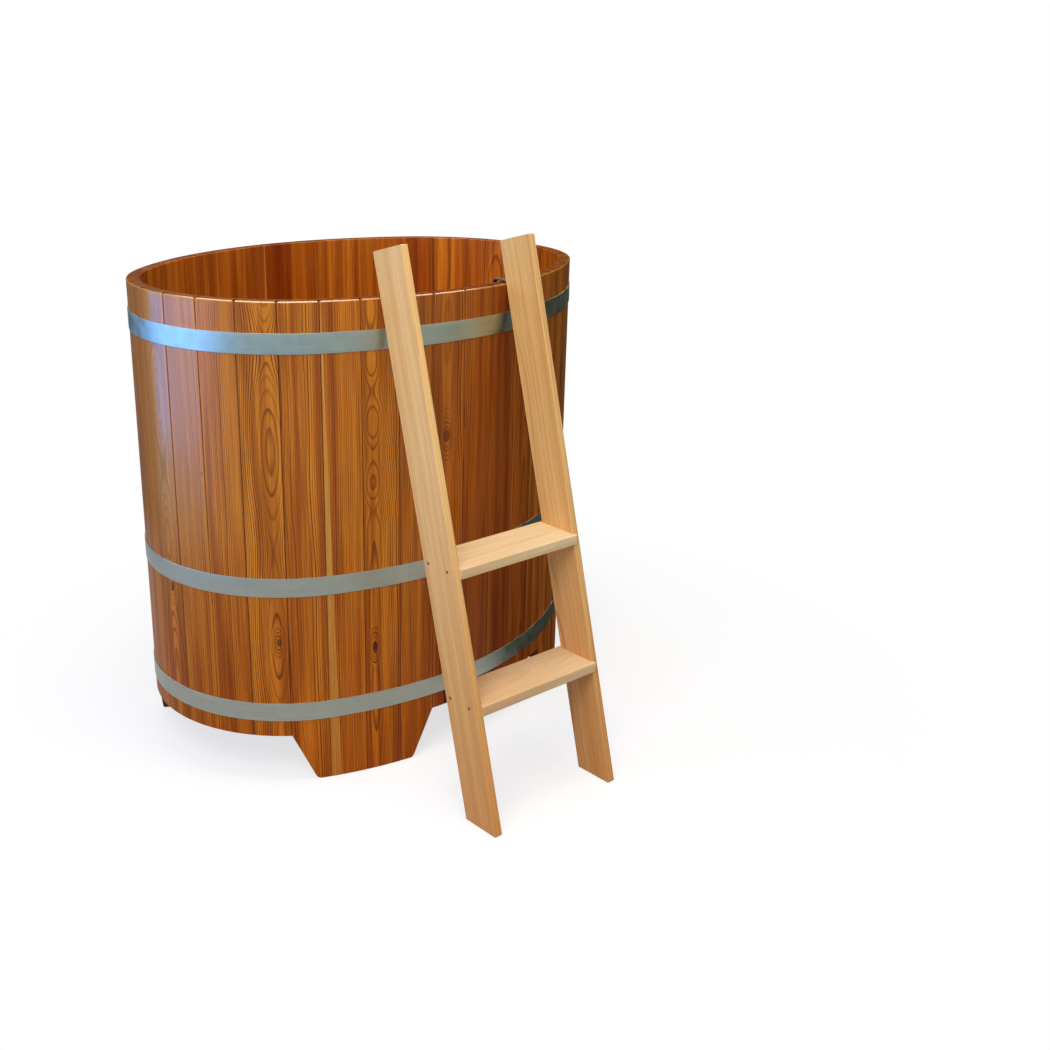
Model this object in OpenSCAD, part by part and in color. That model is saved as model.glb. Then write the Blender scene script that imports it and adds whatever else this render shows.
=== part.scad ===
// Oval wooden plunge tub: upright staves held by three flat steel hoops, a boarded floor
// in a groove, four feet cut from longer staves, and a two-tread ladder hooked on the rim.

/* [Tub] */
// Outside length of the oval, along X
tub_length = 1112; // [1060:2:1200]
// Outside width of the oval, along Y
tub_width = 770; // [740:2:840]
// Height of the rim above the ground
tub_height = 1000; // [850:10:1150]
// Outside radius of the two rounded ends
end_radius = 314; // [300:1:335]
// Thickness of a stave
wall = 26; // [22:1:34]
// Staves in one long side, an odd number so that one stands in the middle
side_staves = 11; // [9:2:13]
// Staves in one rounded end, an even number so that a joint is in the middle
end_staves = 8; // [6:2:10]
// Chamfer on the outer edge of the rim
rim_chamfer = 3; // [1:0.5:5]
// Chamfer on the inner edge of the rim and on the stave ends
soft_chamfer = 1.5; // [0.5:0.5:3]
// Chamfer down both outer edges of each stave, which makes the V at a joint
joint_chamfer = 1.2; // [0.6:0.2:2]
// Chamfer down both inner edges of each stave
inner_joint_chamfer = 0.8; // [0.4:0.2:1.6]
// Gap left in a joint between two staves, as between dry ones
joint_gap = 0.05; // [0.02:0.01:0.2]

/* [Feet] */
// Height of the stave ends above the ground between the feet
foot_height = 104; // [80:2:130]
// Staves of a foot that belong to a long side
foot_side_staves = 3; // [2:1:3]
// Staves of a foot that belong to a rounded end
foot_end_staves = 1; // [1:1:2]
// How far each side of a foot leans in from top to bottom
foot_taper = 50; // [30:1:56]
// Radius of the lower corners of a foot
foot_corner = 12; // [6:1:18]

/* [Hoops] */
// Width of a hoop's flat steel strip
hoop_width = 40; // [30:1:50]
// Thickness of the strip
hoop_thick = 1.5; // [1:0.25:3]
// Distance from the rim down to the middle of the top hoop
hoop_top = 78.5; // [60:0.5:180]
// Height of the middle of the middle hoop
hoop_middle = 434; // [380:1:620]
// Height of the middle of the bottom hoop
hoop_bottom = 159.5; // [150:0.5:180]
// Length over which the two ends of a strip lap
lap_length = 90; // [70:5:120]
// Radius of a hoop rivet's shank
rivet_radius = 2.5; // [2:0.25:3]

/* [Floor] */
// Thickness of the floor boards
floor_thick = 28; // [22:1:34]
// Height of the underside of the floor above the ground
floor_under = 142; // [130:1:150]
// Depth of the groove in the staves that holds the floor
groove_depth = 7; // [5:0.5:9]
// Number of floor boards, an odd number so that one lies in the middle
board_count = 5; // [3:2:7]
// Width of the tongue on one edge of a floor board
tongue = 7; // [5:0.5:9]
// Width of a floor batten
batten_width = 60; // [45:1:80]
// Height of a floor batten
batten_height = 36; // [24:1:38]
// Distance of each batten's middle from the middle of the tub
batten_place = 255; // [200:5:300]
// Radius of a batten screw's shank
batten_screw_radius = 2.5; // [2:0.25:3]

/* [Drain] */
// Inside radius of the drain pipe
drain_bore = 16.5; // [14:0.5:18]
// Outside radius of the drain's threaded part
drain_thread = 24; // [22:0.5:27]
// Outside radius of the hose tail
drain_tail = 20; // [19:0.5:21]
// Length of the hose tail
tail_length = 40; // [30:1:45]
// Radius of the drain's flange on the floor
drain_flange_radius = 45; // [40:1:55]

/* [Ladder] */
// Where the ladder stands: turn away from the middle of the long side, in degrees
ladder_turn = 11.3; // [0:0.1:12]
// Lean of the ladder from upright, in degrees
ladder_lean = 15; // [13:0.1:18]
// Width of a stringer board
stringer_width = 90; // [80:1:100]
// Thickness of a stringer board
stringer_thick = 16; // [15:0.5:22]
// Height of the stringers' tops above the rim
ladder_over = 107; // [90:1:160]
// Clear width between the stringers
ladder_clear = 301; // [280:1:340]
// Height of the top of the lower tread
tread_first = 258; // [220:1:280]
// Rise from the lower tread to the upper one
tread_rise = 262; // [240:1:290]
// Thickness of a tread
tread_thick = 21; // [18:0.5:28]
// Depth of a tread from front to back
tread_depth = 108; // [100:1:120]
// How far a tread's top edge stands in front of the stringers
tread_nosing = 9; // [6:0.5:14]
// Depth of the housing in a stringer that holds a tread's end
housing = 4; // [3:0.5:6]
// Radius of a tread screw's shank
tread_screw_radius = 2; // [1.5:0.25:2.5]
// Thickness of the rim hook's steel
hook_thick = 3; // [2:0.5:4]
// Height of the hook's underside above the rim
hook_lift = 3; // [1:0.5:5]
// Gap between the hook's inner leg and the inside of the wall
hook_gap = 11; // [4:1:14]
// Length of the hook's leg inside the tub
hook_leg = 30; // [20:1:45]

/* [Hidden] */
// Small clearance between pieces that are fitted to each other
fit = 0.1;
// Clearance between pieces of which one moves
run_gap = 0.3;
// Overshoot of a cutter past the face that it cuts
over = 6;

// The oval is four arcs: two sides of side_radius and two ends of end_radius, tangent to each other
end_offset = tub_length / 2 - end_radius;
half_width = tub_width / 2;
side_radius = (end_offset * end_offset + half_width * half_width - end_radius * end_radius)
    / (2 * (half_width - end_radius));
side_offset = side_radius - half_width;
side_half_angle = atan2(end_offset, side_offset);
end_half_angle = 90 - side_half_angle;

// Each arc: its centre, its radius, its first angle, half of the angle that it spans, its number of
// staves and how many of them at each end belong to a foot. The outline starts where the -Y side
// leaves the +X end and runs towards -X.
side_arc = [side_radius, side_half_angle, side_staves, foot_side_staves];
end_arc = [end_radius, end_half_angle, end_staves, foot_end_staves];
arcs = [
    [[0, side_offset], -90 + side_half_angle, side_arc],
    [[-end_offset, 0], -90 - side_half_angle, end_arc],
    [[0, -side_offset], -270 + side_half_angle, side_arc],
    [[end_offset, 0], -270 - side_half_angle, end_arc]
];
// Number of the first stave of each arc
first_staves = [0, side_staves, side_staves + end_staves, 2 * side_staves + end_staves];
stave_count = 2 * (side_staves + end_staves);

// How far the outer end of a lapped strip stands back from the edges of the inner one
lap_step = 0.3;
hoop_heights = [tub_height - hoop_top, hoop_middle, hoop_bottom];

floor_top = floor_under + floor_thick;
floor_inset = wall - groove_depth + run_gap;
floor_width = tub_width - 2 * floor_inset;
board_width = floor_width / board_count;
batten_gap = 3;
batten_half = inside_half(batten_place + batten_width / 2) - batten_gap;
batten_screw_margin = 20;
batten_screw_length = batten_height + floor_thick / 2;

gasket_thick = 2;
flange_thick = 3;
flange_top = floor_top + gasket_thick + flange_thick;
nut_thick = 12;
nut_wide = 13;
thread_end = floor_under - batten_height;
tail_end = thread_end - tail_length;
seat_depth = 20;
seat_taper = 2;
seat_floor = flange_top - seat_depth;
seat_low = drain_bore + 2;
seat_high = seat_low + seat_taper;
plug_rim = 4;
plug_cap = 3.5;
plug_neck = 5;
plug_knob = 9;
plug_knob_height = 15;

// Where a stringer's back edge meets the rim, in the ladder's own frame. Its axis is the centre of
// the side arc, its -Y points away from the tub and its X runs along the treads.
lean_tan = tan(ladder_lean);
lean_cos = cos(ladder_lean);
lean_sin = sin(ladder_lean);
stringer_length = (tub_height + ladder_over) / lean_cos;
rest_height = tub_height - rim_chamfer;
rest_reach = sqrt(pow(side_radius, 2) - pow(ladder_clear / 2, 2)) + run_gap;
back_foot = rest_reach + rest_height * lean_tan;
front_foot = back_foot + stringer_width / lean_cos;
toe_clip = 5;
edge_chamfer = 1.5;
tread_edge = 2;
tread_heights = [tread_first, tread_first + tread_rise];
screw_insets = [22, 79];
tread_screw_length = 50;
tread_screw_head = 3.4;
head_sink = 1;
head_thick = 2.5;

hook_under = tub_height + hook_lift;
hook_bend = 5;
hook_plate = 55;
hook_screw_radius = 1.8;
hook_screw_length = 25;
hook_screw_head = 1.8;
// Depth of the recess in the stringer's back edge that takes the hook's plate and its screw heads,
// and how far the plate stands in from the stringer's faces
hook_sink = hook_thick + hook_screw_head + 2 * run_gap;
hook_margin = 3;
inner_reach = sqrt(pow(side_radius - wall, 2) - pow(ladder_clear / 2 + stringer_thick, 2));

// The frame's origin is under the middle of the whole object, ladder included
ladder_front = (front_foot * cos(ladder_turn)
    + (ladder_clear / 2 + stringer_thick) * sin(ladder_turn)) - side_offset;
shift_y = (ladder_front - half_width) / 2;

function two_digits(n) = str(n < 10 ? "0" : "", n);
function stave_name(i) = str("stave_", two_digits(i + 1));
function board_name(i) = str("floor_board_", i + 1);

$fn = 96;

// The arc that a stave stands on, and the angle of a joint on an arc
function arc_of(i) = max([for (n = [0:3]) if (i >= first_staves[n]) n]);
function joint_angle(arc, k) = arc[1] - 2 * arc[2][1] * k / arc[2][2];
function arc_points(centre, radius, first, last, steps) =
    [for (i = [0:steps]) let (t = first + (last - first) * i / steps)
        centre + radius * [cos(t), sin(t)]];
// Half the free width inside the staves at a distance x from the middle of the tub
function inside_half(x) = abs(x) > end_offset
    ? sqrt(pow(end_radius - wall, 2) - pow(abs(x) - end_offset, 2))
    : sqrt(pow(side_radius - wall, 2) - x * x) - side_offset;
function board_middle(i) = (i - (board_count - 1) / 2) * board_width;
// A batten screw's place across the tub: the middle of its board, or as near as the batten reaches
function screw_place(i) = sign(board_middle(i))
    * min(abs(board_middle(i)), batten_half - batten_screw_margin);

// Puts a child from the tub's own frame, on the tub's axis, into the object's frame
module in_tub() translate([0, shift_y, 0]) children();

// Puts a child from the ladder's own frame into the object's frame
module in_ladder() in_tub() translate([0, side_offset, 0]) rotate([0, 0, -ladder_turn]) children();

// Turns to an angle on an arc: X then points outwards and starts on the outline
module at_angle(arc, angle) {
    translate([arc[0][0], arc[0][1], 0])
        rotate([0, 0, angle])
            translate([arc[2][0], 0, 0])
                children();
}

// A section of the wall: rim chamfers, the groove for the floor and eased lower edges
module wall_section(bottom) {
    groove = -wall + groove_depth;
    polygon([
        [-soft_chamfer, bottom],
        [0, bottom + soft_chamfer],
        [0, tub_height - rim_chamfer],
        [-rim_chamfer, tub_height],
        [-wall + soft_chamfer, tub_height],
        [-wall, tub_height - soft_chamfer],
        [-wall, floor_top + fit],
        [groove, floor_top + fit],
        [groove, floor_under - fit],
        [-wall, floor_under - fit],
        [-wall, bottom + soft_chamfer],
        [-wall + soft_chamfer, bottom]
    ]);
}

// Chamfers the upright edge of a stave at an offset from the outside
module edge_cut(offset_out, size) {
    translate([offset_out, 0, tub_height / 2])
        rotate([0, 0, 45])
            cube([size * sqrt(2), size * sqrt(2), tub_height + 2 * over], center = true);
}

// What is sawn off beside a foot, with the foot's rounded lower corner left standing
module foot_cut(side) {
    lean = atan2(foot_taper, foot_height);
    corner = foot_taper + foot_corner / tan((90 + lean) / 2);
    outline = concat(
        [[-over, -over], [-over, foot_height], [0, foot_height]],
        arc_points([corner, foot_corner], foot_corner, 180 + lean, 270, 6),
        [[corner, -over]]
    );
    translate([-wall - over, 0, 0])
        rotate([90, 0, 90])
            linear_extrude(wall + 2 * over)
                polygon([for (p = outline) [side * p[0], p[1]]]);
}

// One stave, between two joints that stand square to the outline
module stave(i) {
    arc = arcs[arc_of(i)];
    k = i - first_staves[arc_of(i)];
    from = joint_angle(arc, k);
    to = joint_angle(arc, k + 1);
    gap_angle = joint_gap / 2 / arc[2][0] * 180 / PI;
    staves = arc[2][2];
    foot = arc[2][3];
    bottom = k < foot || k >= staves - foot ? 0 : foot_height;
    tone = 0.06 * sin(i * 137);
    color([0.70 + tone, 0.38 + tone, 0.16 + tone / 2])
        in_tub() difference() {
            translate([arc[0][0], arc[0][1], 0])
                rotate([0, 0, to + gap_angle])
                    rotate_extrude(angle = from - to - 2 * gap_angle)
                        translate([arc[2][0], 0])
                            wall_section(bottom);
            for (angle = [from, to]) at_angle(arc, angle) {
                edge_cut(0, joint_chamfer);
                edge_cut(-wall, inner_joint_chamfer);
            }
            if (k == staves - foot) at_angle(arc, from) foot_cut(-1);
            if (k == foot - 1) at_angle(arc, to) foot_cut(1);
        }
}

// Puts the four rivets of a lap on the staves at the back, pointing outwards
module at_rivets() {
    for (along = [-1, 1], up = [-1, 1])
        at_angle(arcs[2], 90 + along * lap_length / 4 / side_radius * 180 / PI)
            translate([fit, 0, up * hoop_width / 4])
                rotate([0, 90, 0])
                    children();
}

// A hoop: a strip bent round the staves, its ends lapped and riveted at the back
module hoop(middle) {
    bottom = middle - hoop_width / 2;
    lap_angle = lap_length / side_radius * 180 / PI;
    color("lightslategray") in_tub() difference() {
        union() {
            difference() {
                oval_plate(-fit - hoop_thick, bottom, hoop_width);
                oval_plate(-fit, bottom - over, hoop_width + 2 * over);
            }
            translate([0, -side_offset, bottom + lap_step])
                rotate([0, 0, 90 - lap_angle / 2])
                    rotate_extrude(angle = lap_angle)
                        translate([side_radius + fit + hoop_thick / 2, 0])
                            square([1.5 * hoop_thick, hoop_width - 2 * lap_step]);
        }
        translate([0, 0, middle])
            at_rivets() translate([0, 0, -over]) cylinder(r = rivet_radius + fit, h = 3 * over);
    }
}

// Rivets: a shank through both thicknesses of strip and a low round head
module rivets() {
    head = 2 * rivet_radius;
    color("silver") in_tub()
        for (middle = hoop_heights)
            translate([0, 0, middle]) at_rivets() {
                cylinder(r = rivet_radius, h = 2 * hoop_thick + fit);
                translate([0, 0, 2 * hoop_thick])
                    rotate_extrude()
                        polygon([[0, 0], [head, 0], [head * 0.9, 0.9], [head * 0.6, 1.6], [0, 2]]);
            }
}

// A solid oval plate, set in from the outside of the tub by an even distance. The end circles are
// a trace larger than the arcs so that each crosses the sides in a clean line.
module oval_plate(inset, bottom, thick) {
    trace = 0.02;
    reach = tub_length;
    translate([0, 0, bottom]) {
        intersection() {
            linear_extrude(thick)
                polygon([
                    [end_offset, 0],
                    [end_offset + reach * sin(side_half_angle), reach * cos(side_half_angle)],
                    [-end_offset - reach * sin(side_half_angle), reach * cos(side_half_angle)],
                    [-end_offset, 0],
                    [-end_offset - reach * sin(side_half_angle), -reach * cos(side_half_angle)],
                    [end_offset + reach * sin(side_half_angle), -reach * cos(side_half_angle)]
                ]);
            translate([0, side_offset, 0]) cylinder(r = side_radius - inset, h = thick);
            translate([0, -side_offset, 0]) cylinder(r = side_radius - inset, h = thick);
        }
        for (side = [-1, 1])
            translate([side * end_offset, 0, 0])
                cylinder(r = end_radius - inset + trace, h = thick);
    }
}

// A floor board's section: a tongue on one edge, a groove on the other and eased upper edges
module board_section(i) {
    low = -board_width / 2;
    high = board_width / 2;
    mid = floor_thick / 2;
    t = tongue / 2;
    first = i == 0;
    last = i == board_count - 1;
    left_edge = first ? [] : [
        [low, mid - t - fit], [low + tongue + fit, mid - t - fit],
        [low + tongue + fit, mid + t + fit], [low, mid + t + fit]
    ];
    right_edge = last ? [] : [
        [high, mid + t], [high + tongue, mid + t], [high + tongue, mid - t], [high, mid - t]
    ];
    polygon(concat(
        [[low, 0]], left_edge, [[low, floor_thick - 1], [low + 1, floor_thick]],
        [[high - 1, floor_thick], [high, floor_thick - 1]], right_edge, [[high, 0]]
    ));
}

// One board of the floor, cut to the oval and let into the groove in the staves
module floor_board(i) {
    color("peru") in_tub() difference() {
        intersection() {
            oval_plate(floor_inset, floor_under, floor_thick);
            translate([-tub_length / 2, board_middle(i), floor_under])
                rotate([90, 0, 90])
                    linear_extrude(tub_length)
                        board_section(i);
        }
        if (board_middle(i) == 0)
            translate([0, 0, floor_under - over])
                cylinder(r = drain_thread + 1, h = floor_thick + 2 * over);
        for (side = [-1, 1])
            translate([side * batten_place, screw_place(i), floor_under - over])
                cylinder(r = batten_screw_radius + fit, h = floor_thick / 2 + over + fit);
    }
}

// A batten across the underside of the floor, cut short of the staves
module batten(side) {
    color("sienna") in_tub() difference() {
        translate([side * batten_place - batten_width / 2, -batten_half,
                floor_under - batten_height])
            cube([batten_width, 2 * batten_half, batten_height]);
        at_batten_screws(side)
            screw_hole(batten_screw_radius, 2 * batten_screw_radius, batten_height);
    }
}

// A countersunk hole through a piece, from its mouth upwards
module screw_hole(radius, head, depth) {
    translate([0, 0, -over]) cylinder(r = radius + fit, h = depth + 2 * over);
    translate([0, 0, -over]) cylinder(r = head + fit, h = over + head_sink);
    translate([0, 0, head_sink - fit]) cylinder(r1 = head + fit, r2 = radius, h = head_thick + fit);
}

// A countersunk screw, its head just under the surface
module screw(radius, head, length) {
    translate([0, 0, head_sink]) cylinder(r1 = head, r2 = radius, h = head_thick);
    translate([0, 0, head_sink + head_thick - fit])
        cylinder(r = radius, h = length - head_sink - head_thick - 2 * radius + fit);
    translate([0, 0, length - 2 * radius]) cylinder(r1 = radius, r2 = radius / 4, h = 2 * radius);
}

// Puts one screw under each board, pointing up through a batten
module at_batten_screws(side) {
    for (i = [0:board_count - 1])
        translate([side * batten_place, screw_place(i), floor_under - batten_height])
            children();
}

module batten_screws() {
    color("gray") in_tub()
        for (side = [-1, 1]) at_batten_screws(side)
            screw(batten_screw_radius, 2 * batten_screw_radius, batten_screw_length);
}

// Drain body: flange on the floor, threaded part through it and a tail for a hose
module drain_flange() {
    color("gainsboro") in_tub() rotate_extrude() polygon([
        [drain_bore, tail_end],
        [drain_tail - 1, tail_end],
        [drain_tail, tail_end + 1],
        [drain_tail, thread_end],
        [drain_thread, thread_end],
        [drain_thread, floor_top + gasket_thick],
        [drain_flange_radius, floor_top + gasket_thick],
        [drain_flange_radius, flange_top - 1.5],
        [drain_flange_radius - 3, flange_top],
        [seat_high, flange_top],
        [seat_low, seat_floor],
        [drain_bore, seat_floor]
    ]);
}

module drain_gasket() {
    color("black") in_tub() translate([0, 0, floor_top]) difference() {
        cylinder(r = drain_flange_radius - 3, h = gasket_thick);
        translate([0, 0, -over]) cylinder(r = drain_thread + fit, h = gasket_thick + 2 * over);
    }
}

// Six-sided nut that pulls the flange down on its gasket
module drain_locknut() {
    color("silver") in_tub() translate([0, 0, floor_under - nut_thick]) difference() {
        cylinder(r = drain_thread + nut_wide, h = nut_thick, $fn = 6);
        translate([0, 0, -over]) cylinder(r = drain_thread + fit, h = nut_thick + 2 * over);
    }
}

// Rubber stopper with a knob, a loose taper fit in the drain's seat
module drain_plug() {
    base = seat_floor + run_gap;
    cap = flange_top + run_gap;
    knob = cap + plug_cap + plug_knob_height;
    color("dimgray") in_tub() rotate_extrude() polygon(concat(
        [
            [0, base],
            [seat_low - run_gap, base],
            [seat_high - run_gap, cap],
            [seat_high + plug_rim, cap],
            [seat_high + plug_rim, cap + plug_cap - 1],
            [seat_high + plug_rim - 1, cap + plug_cap],
            [plug_neck, cap + plug_cap]
        ],
        arc_points([0, knob], plug_knob, -56, 90, 10)
    ));
}

// Places on a stringer's back and front edges at a height, as distances from the ladder's axis
function back_at(z) = back_foot - z * lean_tan;
function front_at(z) = front_foot - z * lean_tan;

// A tread's section, as distance from the axis and height, with its front edge eased most
module tread_section(top, gap) {
    near = front_at(top) + tread_nosing + gap;
    far = front_at(top) + tread_nosing - tread_depth - gap;
    low = top - tread_thick - gap;
    polygon([
        [-near, low + edge_chamfer], [-near, top + gap - tread_edge], [-near + tread_edge, top + gap],
        [-far - edge_chamfer, top + gap], [-far, top + gap - edge_chamfer],
        [-far, low + edge_chamfer], [-far - edge_chamfer, low], [-near + edge_chamfer, low]
    ]);
}

// Stretches a section across the ladder, from one side to the other
module across(from, to) {
    translate([from, 0, 0]) rotate([90, 0, 90]) linear_extrude(to - from) children();
}

module tread(top) {
    half = ladder_clear / 2 + housing - fit;
    color("burlywood") in_ladder() difference() {
        across(-half, half) tread_section(top, 0);
        for (side = [-1, 1]) at_tread_screws(side, top)
            cylinder(r = tread_screw_radius + fit, h = tread_screw_length + 1);
    }
}

// Puts screws for one tread end at a stringer's outer face, pointing into the tread
module at_tread_screws(side, top) {
    z = top - tread_thick / 2;
    for (inset = screw_insets)
        translate([side * (ladder_clear / 2 + stringer_thick), -front_at(z) + inset, z])
            rotate([0, -90 * side, 0])
                children();
}

// Eases one long edge of a stringer
module long_edge_cut(x, reach) {
    translate([x, -reach, 0])
        rotate([-ladder_lean, 0, 0])
            rotate([0, 0, 45])
                translate([0, 0, stringer_length / 2])
                    cube([edge_chamfer * sqrt(2), edge_chamfer * sqrt(2), 2 * stringer_length],
                        center = true);
}

// A stringer: foot cut level with the ground, top cut square, housings for the treads
module stringer(side) {
    inner = side * ladder_clear / 2;
    outer = side * (ladder_clear / 2 + stringer_thick);
    front_top = [-front_foot + stringer_length * lean_sin, stringer_length * lean_cos];
    color("tan") in_ladder() difference() {
        across(min(inner, outer), max(inner, outer)) polygon([
            [-front_foot + toe_clip, 0], [-front_foot + toe_clip * lean_tan, toe_clip],
            front_top - edge_chamfer * [lean_sin, lean_cos],
            front_top + edge_chamfer * [lean_cos, -lean_sin],
            front_top + (stringer_width - edge_chamfer) * [lean_cos, -lean_sin],
            front_top + stringer_width * [lean_cos, -lean_sin]
                - edge_chamfer * [lean_sin, lean_cos],
            [-back_foot, 0]
        ]);
        for (x = [inner, outer], reach = [back_foot, front_foot]) long_edge_cut(x, reach);
        for (top = tread_heights) {
            across(min(inner - side * over, inner + side * housing),
                max(inner - side * over, inner + side * housing)) tread_section(top, fit);
            at_tread_screws(side, top)
                screw_hole(tread_screw_radius, tread_screw_head, stringer_thick);
        }
        if (side > 0) {
            hook_recess();
            at_hook_screws() cylinder(r = hook_screw_radius + fit, h = hook_screw_length + 1);
        }
    }
}

// The recess for the hook's plate, from just under the hook's arm to just over the plate
module hook_recess() {
    off = [lean_cos, -lean_sin];
    low = hook_under - 1;
    high = hook_under + hook_thick + hook_bend + (hook_plate + 3) * lean_cos;
    across(ladder_clear / 2 + hook_margin - fit, ladder_clear / 2 + stringer_thick - hook_margin + fit)
        polygon([for (z = [low, high], depth = z == low ? [-over, hook_sink] : [hook_sink, -over])
            [-back_at(z), z] - depth * off]);
}

// The hook's steel, from the top of its plate down in the stringer's back edge, over the rim and
// down inside the tub. Each bend keeps the strip's thickness.
module rim_hook_section() {
    outer_bend = hook_bend + hook_thick;
    up = [lean_sin, lean_cos];
    off = [lean_cos, -lean_sin];
    centre_height = hook_under + outer_bend;
    centre = [-back_at(centre_height) + (outer_bend + run_gap - hook_sink) / lean_cos,
        centre_height];
    leg = -inner_reach + hook_gap;
    leg_centre = [leg - hook_bend, hook_under - hook_bend];
    polygon(concat(
        [centre - outer_bend * off + hook_plate * up],
        arc_points(centre, outer_bend, 180 - ladder_lean, 270, 9),
        arc_points(leg_centre, hook_bend, 90, 0, 9),
        [[leg, hook_under - hook_leg], [leg + hook_thick, hook_under - hook_leg]],
        arc_points(leg_centre, outer_bend, 0, 90, 9),
        arc_points(centre, hook_bend, 270, 180 - ladder_lean, 9),
        [centre - hook_bend * off + hook_plate * up]
    ));
}

// Puts the hook's two screws on its plate's outer face, pointing into the stringer's back edge
module at_hook_screws() {
    for (part = [0.4, 0.8]) {
        z = hook_under + hook_thick + hook_bend + part * hook_plate * lean_cos;
        translate([ladder_clear / 2 + stringer_thick / 2, -back_at(z) + (run_gap - hook_sink) / lean_cos, z])
            rotate([90 - ladder_lean, 0, 0])
                children();
    }
}

// A bent steel hook, its plate let into the right stringer's back edge
module rim_hook() {
    color("slategray") in_ladder() difference() {
        across(ladder_clear / 2 + hook_margin, ladder_clear / 2 + stringer_thick - hook_margin)
            rim_hook_section();
        at_hook_screws() translate([0, 0, -2 * over])
            cylinder(r = hook_screw_radius + fit, h = 4 * over);
    }
}

// Tread screws and hook screws
module ladder_screws() {
    color("gray") in_ladder() {
        for (side = [-1, 1], top = tread_heights)
            at_tread_screws(side, top)
                screw(tread_screw_radius, tread_screw_head, tread_screw_length);
        at_hook_screws() {
            translate([0, 0, -hook_thick - fit - hook_screw_head])
                cylinder(r1 = hook_screw_radius * 1.2, r2 = hook_screw_radius * 2,
                    h = hook_screw_head);
            translate([0, 0, -hook_thick - 2 * fit])
                cylinder(r = hook_screw_radius, h = hook_screw_length + hook_thick);
        }
    }
}

for (i = [0:stave_count - 1])
    stave(i);
hoop(hoop_heights[0]);  // hoop_top
hoop(hoop_heights[1]);  // hoop_middle
hoop(hoop_heights[2]);  // hoop_bottom
rivets();  // hoop_rivets
for (i = [0:board_count - 1])
    floor_board(i);
batten(-1);  // batten_left
batten(1);  // batten_right
batten_screws();
drain_flange();
drain_gasket();
drain_locknut();
drain_plug();
stringer(-1);  // stringer_left
stringer(1);  // stringer_right
tread(tread_heights[0]);  // tread_lower
tread(tread_heights[1]);  // tread_upper
rim_hook();
ladder_screws();
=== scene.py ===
"""Looks of an oval wooden plunge tub with a leaning two-tread ladder.

The staves, the hoops and the rivets' heads are made here again as finer meshes in the places of
the frame's own solids. The ladder's boards, the floor and its battens keep the frame's shapes and
get the grain of the timber that they are cut from, and the drain, the hook and the screws keep the
frame's pieces and get their steel or rubber.
"""

from __future__ import annotations

import logging
import math
import random
from dataclasses import dataclass, field, replace
from enum import Enum
from functools import partial
from itertools import product
from types import SimpleNamespace
from typing import Any, Callable, Iterable, Sequence

import bmesh
import bpy
from mathutils import Matrix, Vector

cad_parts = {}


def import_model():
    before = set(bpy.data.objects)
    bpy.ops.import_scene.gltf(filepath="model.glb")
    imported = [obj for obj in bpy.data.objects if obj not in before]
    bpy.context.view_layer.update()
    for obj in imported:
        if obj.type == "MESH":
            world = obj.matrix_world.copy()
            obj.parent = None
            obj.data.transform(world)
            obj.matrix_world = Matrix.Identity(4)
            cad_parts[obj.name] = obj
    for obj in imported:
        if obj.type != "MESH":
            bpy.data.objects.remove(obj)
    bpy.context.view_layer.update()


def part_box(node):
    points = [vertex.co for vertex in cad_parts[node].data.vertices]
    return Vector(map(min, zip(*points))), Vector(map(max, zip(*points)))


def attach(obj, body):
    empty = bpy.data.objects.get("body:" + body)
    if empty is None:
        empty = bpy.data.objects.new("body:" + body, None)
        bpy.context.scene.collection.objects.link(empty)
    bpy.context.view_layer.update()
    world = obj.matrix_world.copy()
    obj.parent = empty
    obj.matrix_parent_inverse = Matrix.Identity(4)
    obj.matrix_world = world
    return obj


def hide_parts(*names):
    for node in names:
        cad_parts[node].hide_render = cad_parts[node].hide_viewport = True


MM = 0.001
QUARTER = math.pi / 2
SHARP_DEGREES = 50.0
log = logging.getLogger("tub")

Point = tuple[float, float]
Triple = tuple[float, float, float]
Faces = list[list[int]]
Socket = bpy.types.NodeSocket
AddNode = Callable[..., Socket]


def linear(hex_code: str) -> tuple[float, float, float, float]:
    """Turns an sRGB hex colour into the linear colour that a shader takes.

    Args:
        hex_code: Six hex digits, such as "A25F28".

    Returns:
        Red, green, blue and an alpha of one.
    """
    parts = [int(hex_code[i : i + 2], 16) / 255 for i in (0, 2, 4)]
    curve = [c / 12.92 if c <= 0.04045 else ((c + 0.055) / 1.055) ** 2.4 for c in parts]
    return (curve[0], curve[1], curve[2], 1.0)


def add_node(
    tree: bpy.types.NodeTree,
    kind: str,
    inputs: dict[int | str, Any] | None = None,
    output: int | str = 0,
    **settings: Any,
) -> Socket:
    """Adds a node with its settings, values and links.

    Args:
        tree: The material's or the world's node tree.
        kind: The node's type without its "ShaderNode" prefix.
        inputs: A value or a socket for each input that is set.
        output: The output that is handed back.
        **settings: Attributes of the node.

    Returns:
        The named output of the new node.
    """
    node = tree.nodes.new("ShaderNode" + kind)
    for name, value in settings.items():
        setattr(node, name, value)
    for name, value in (inputs or {}).items():
        if isinstance(value, Socket):
            tree.links.new(value, node.inputs[name])
        else:
            node.inputs[name].default_value = value
    return node.outputs[output]


# Settings of an eased MapRange node, and the output and setting of a Mix node for colours
EASED = {"interpolation_type": "SMOOTHSTEP"}
COLOURS = {"output": 2, "data_type": "RGBA"}


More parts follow.
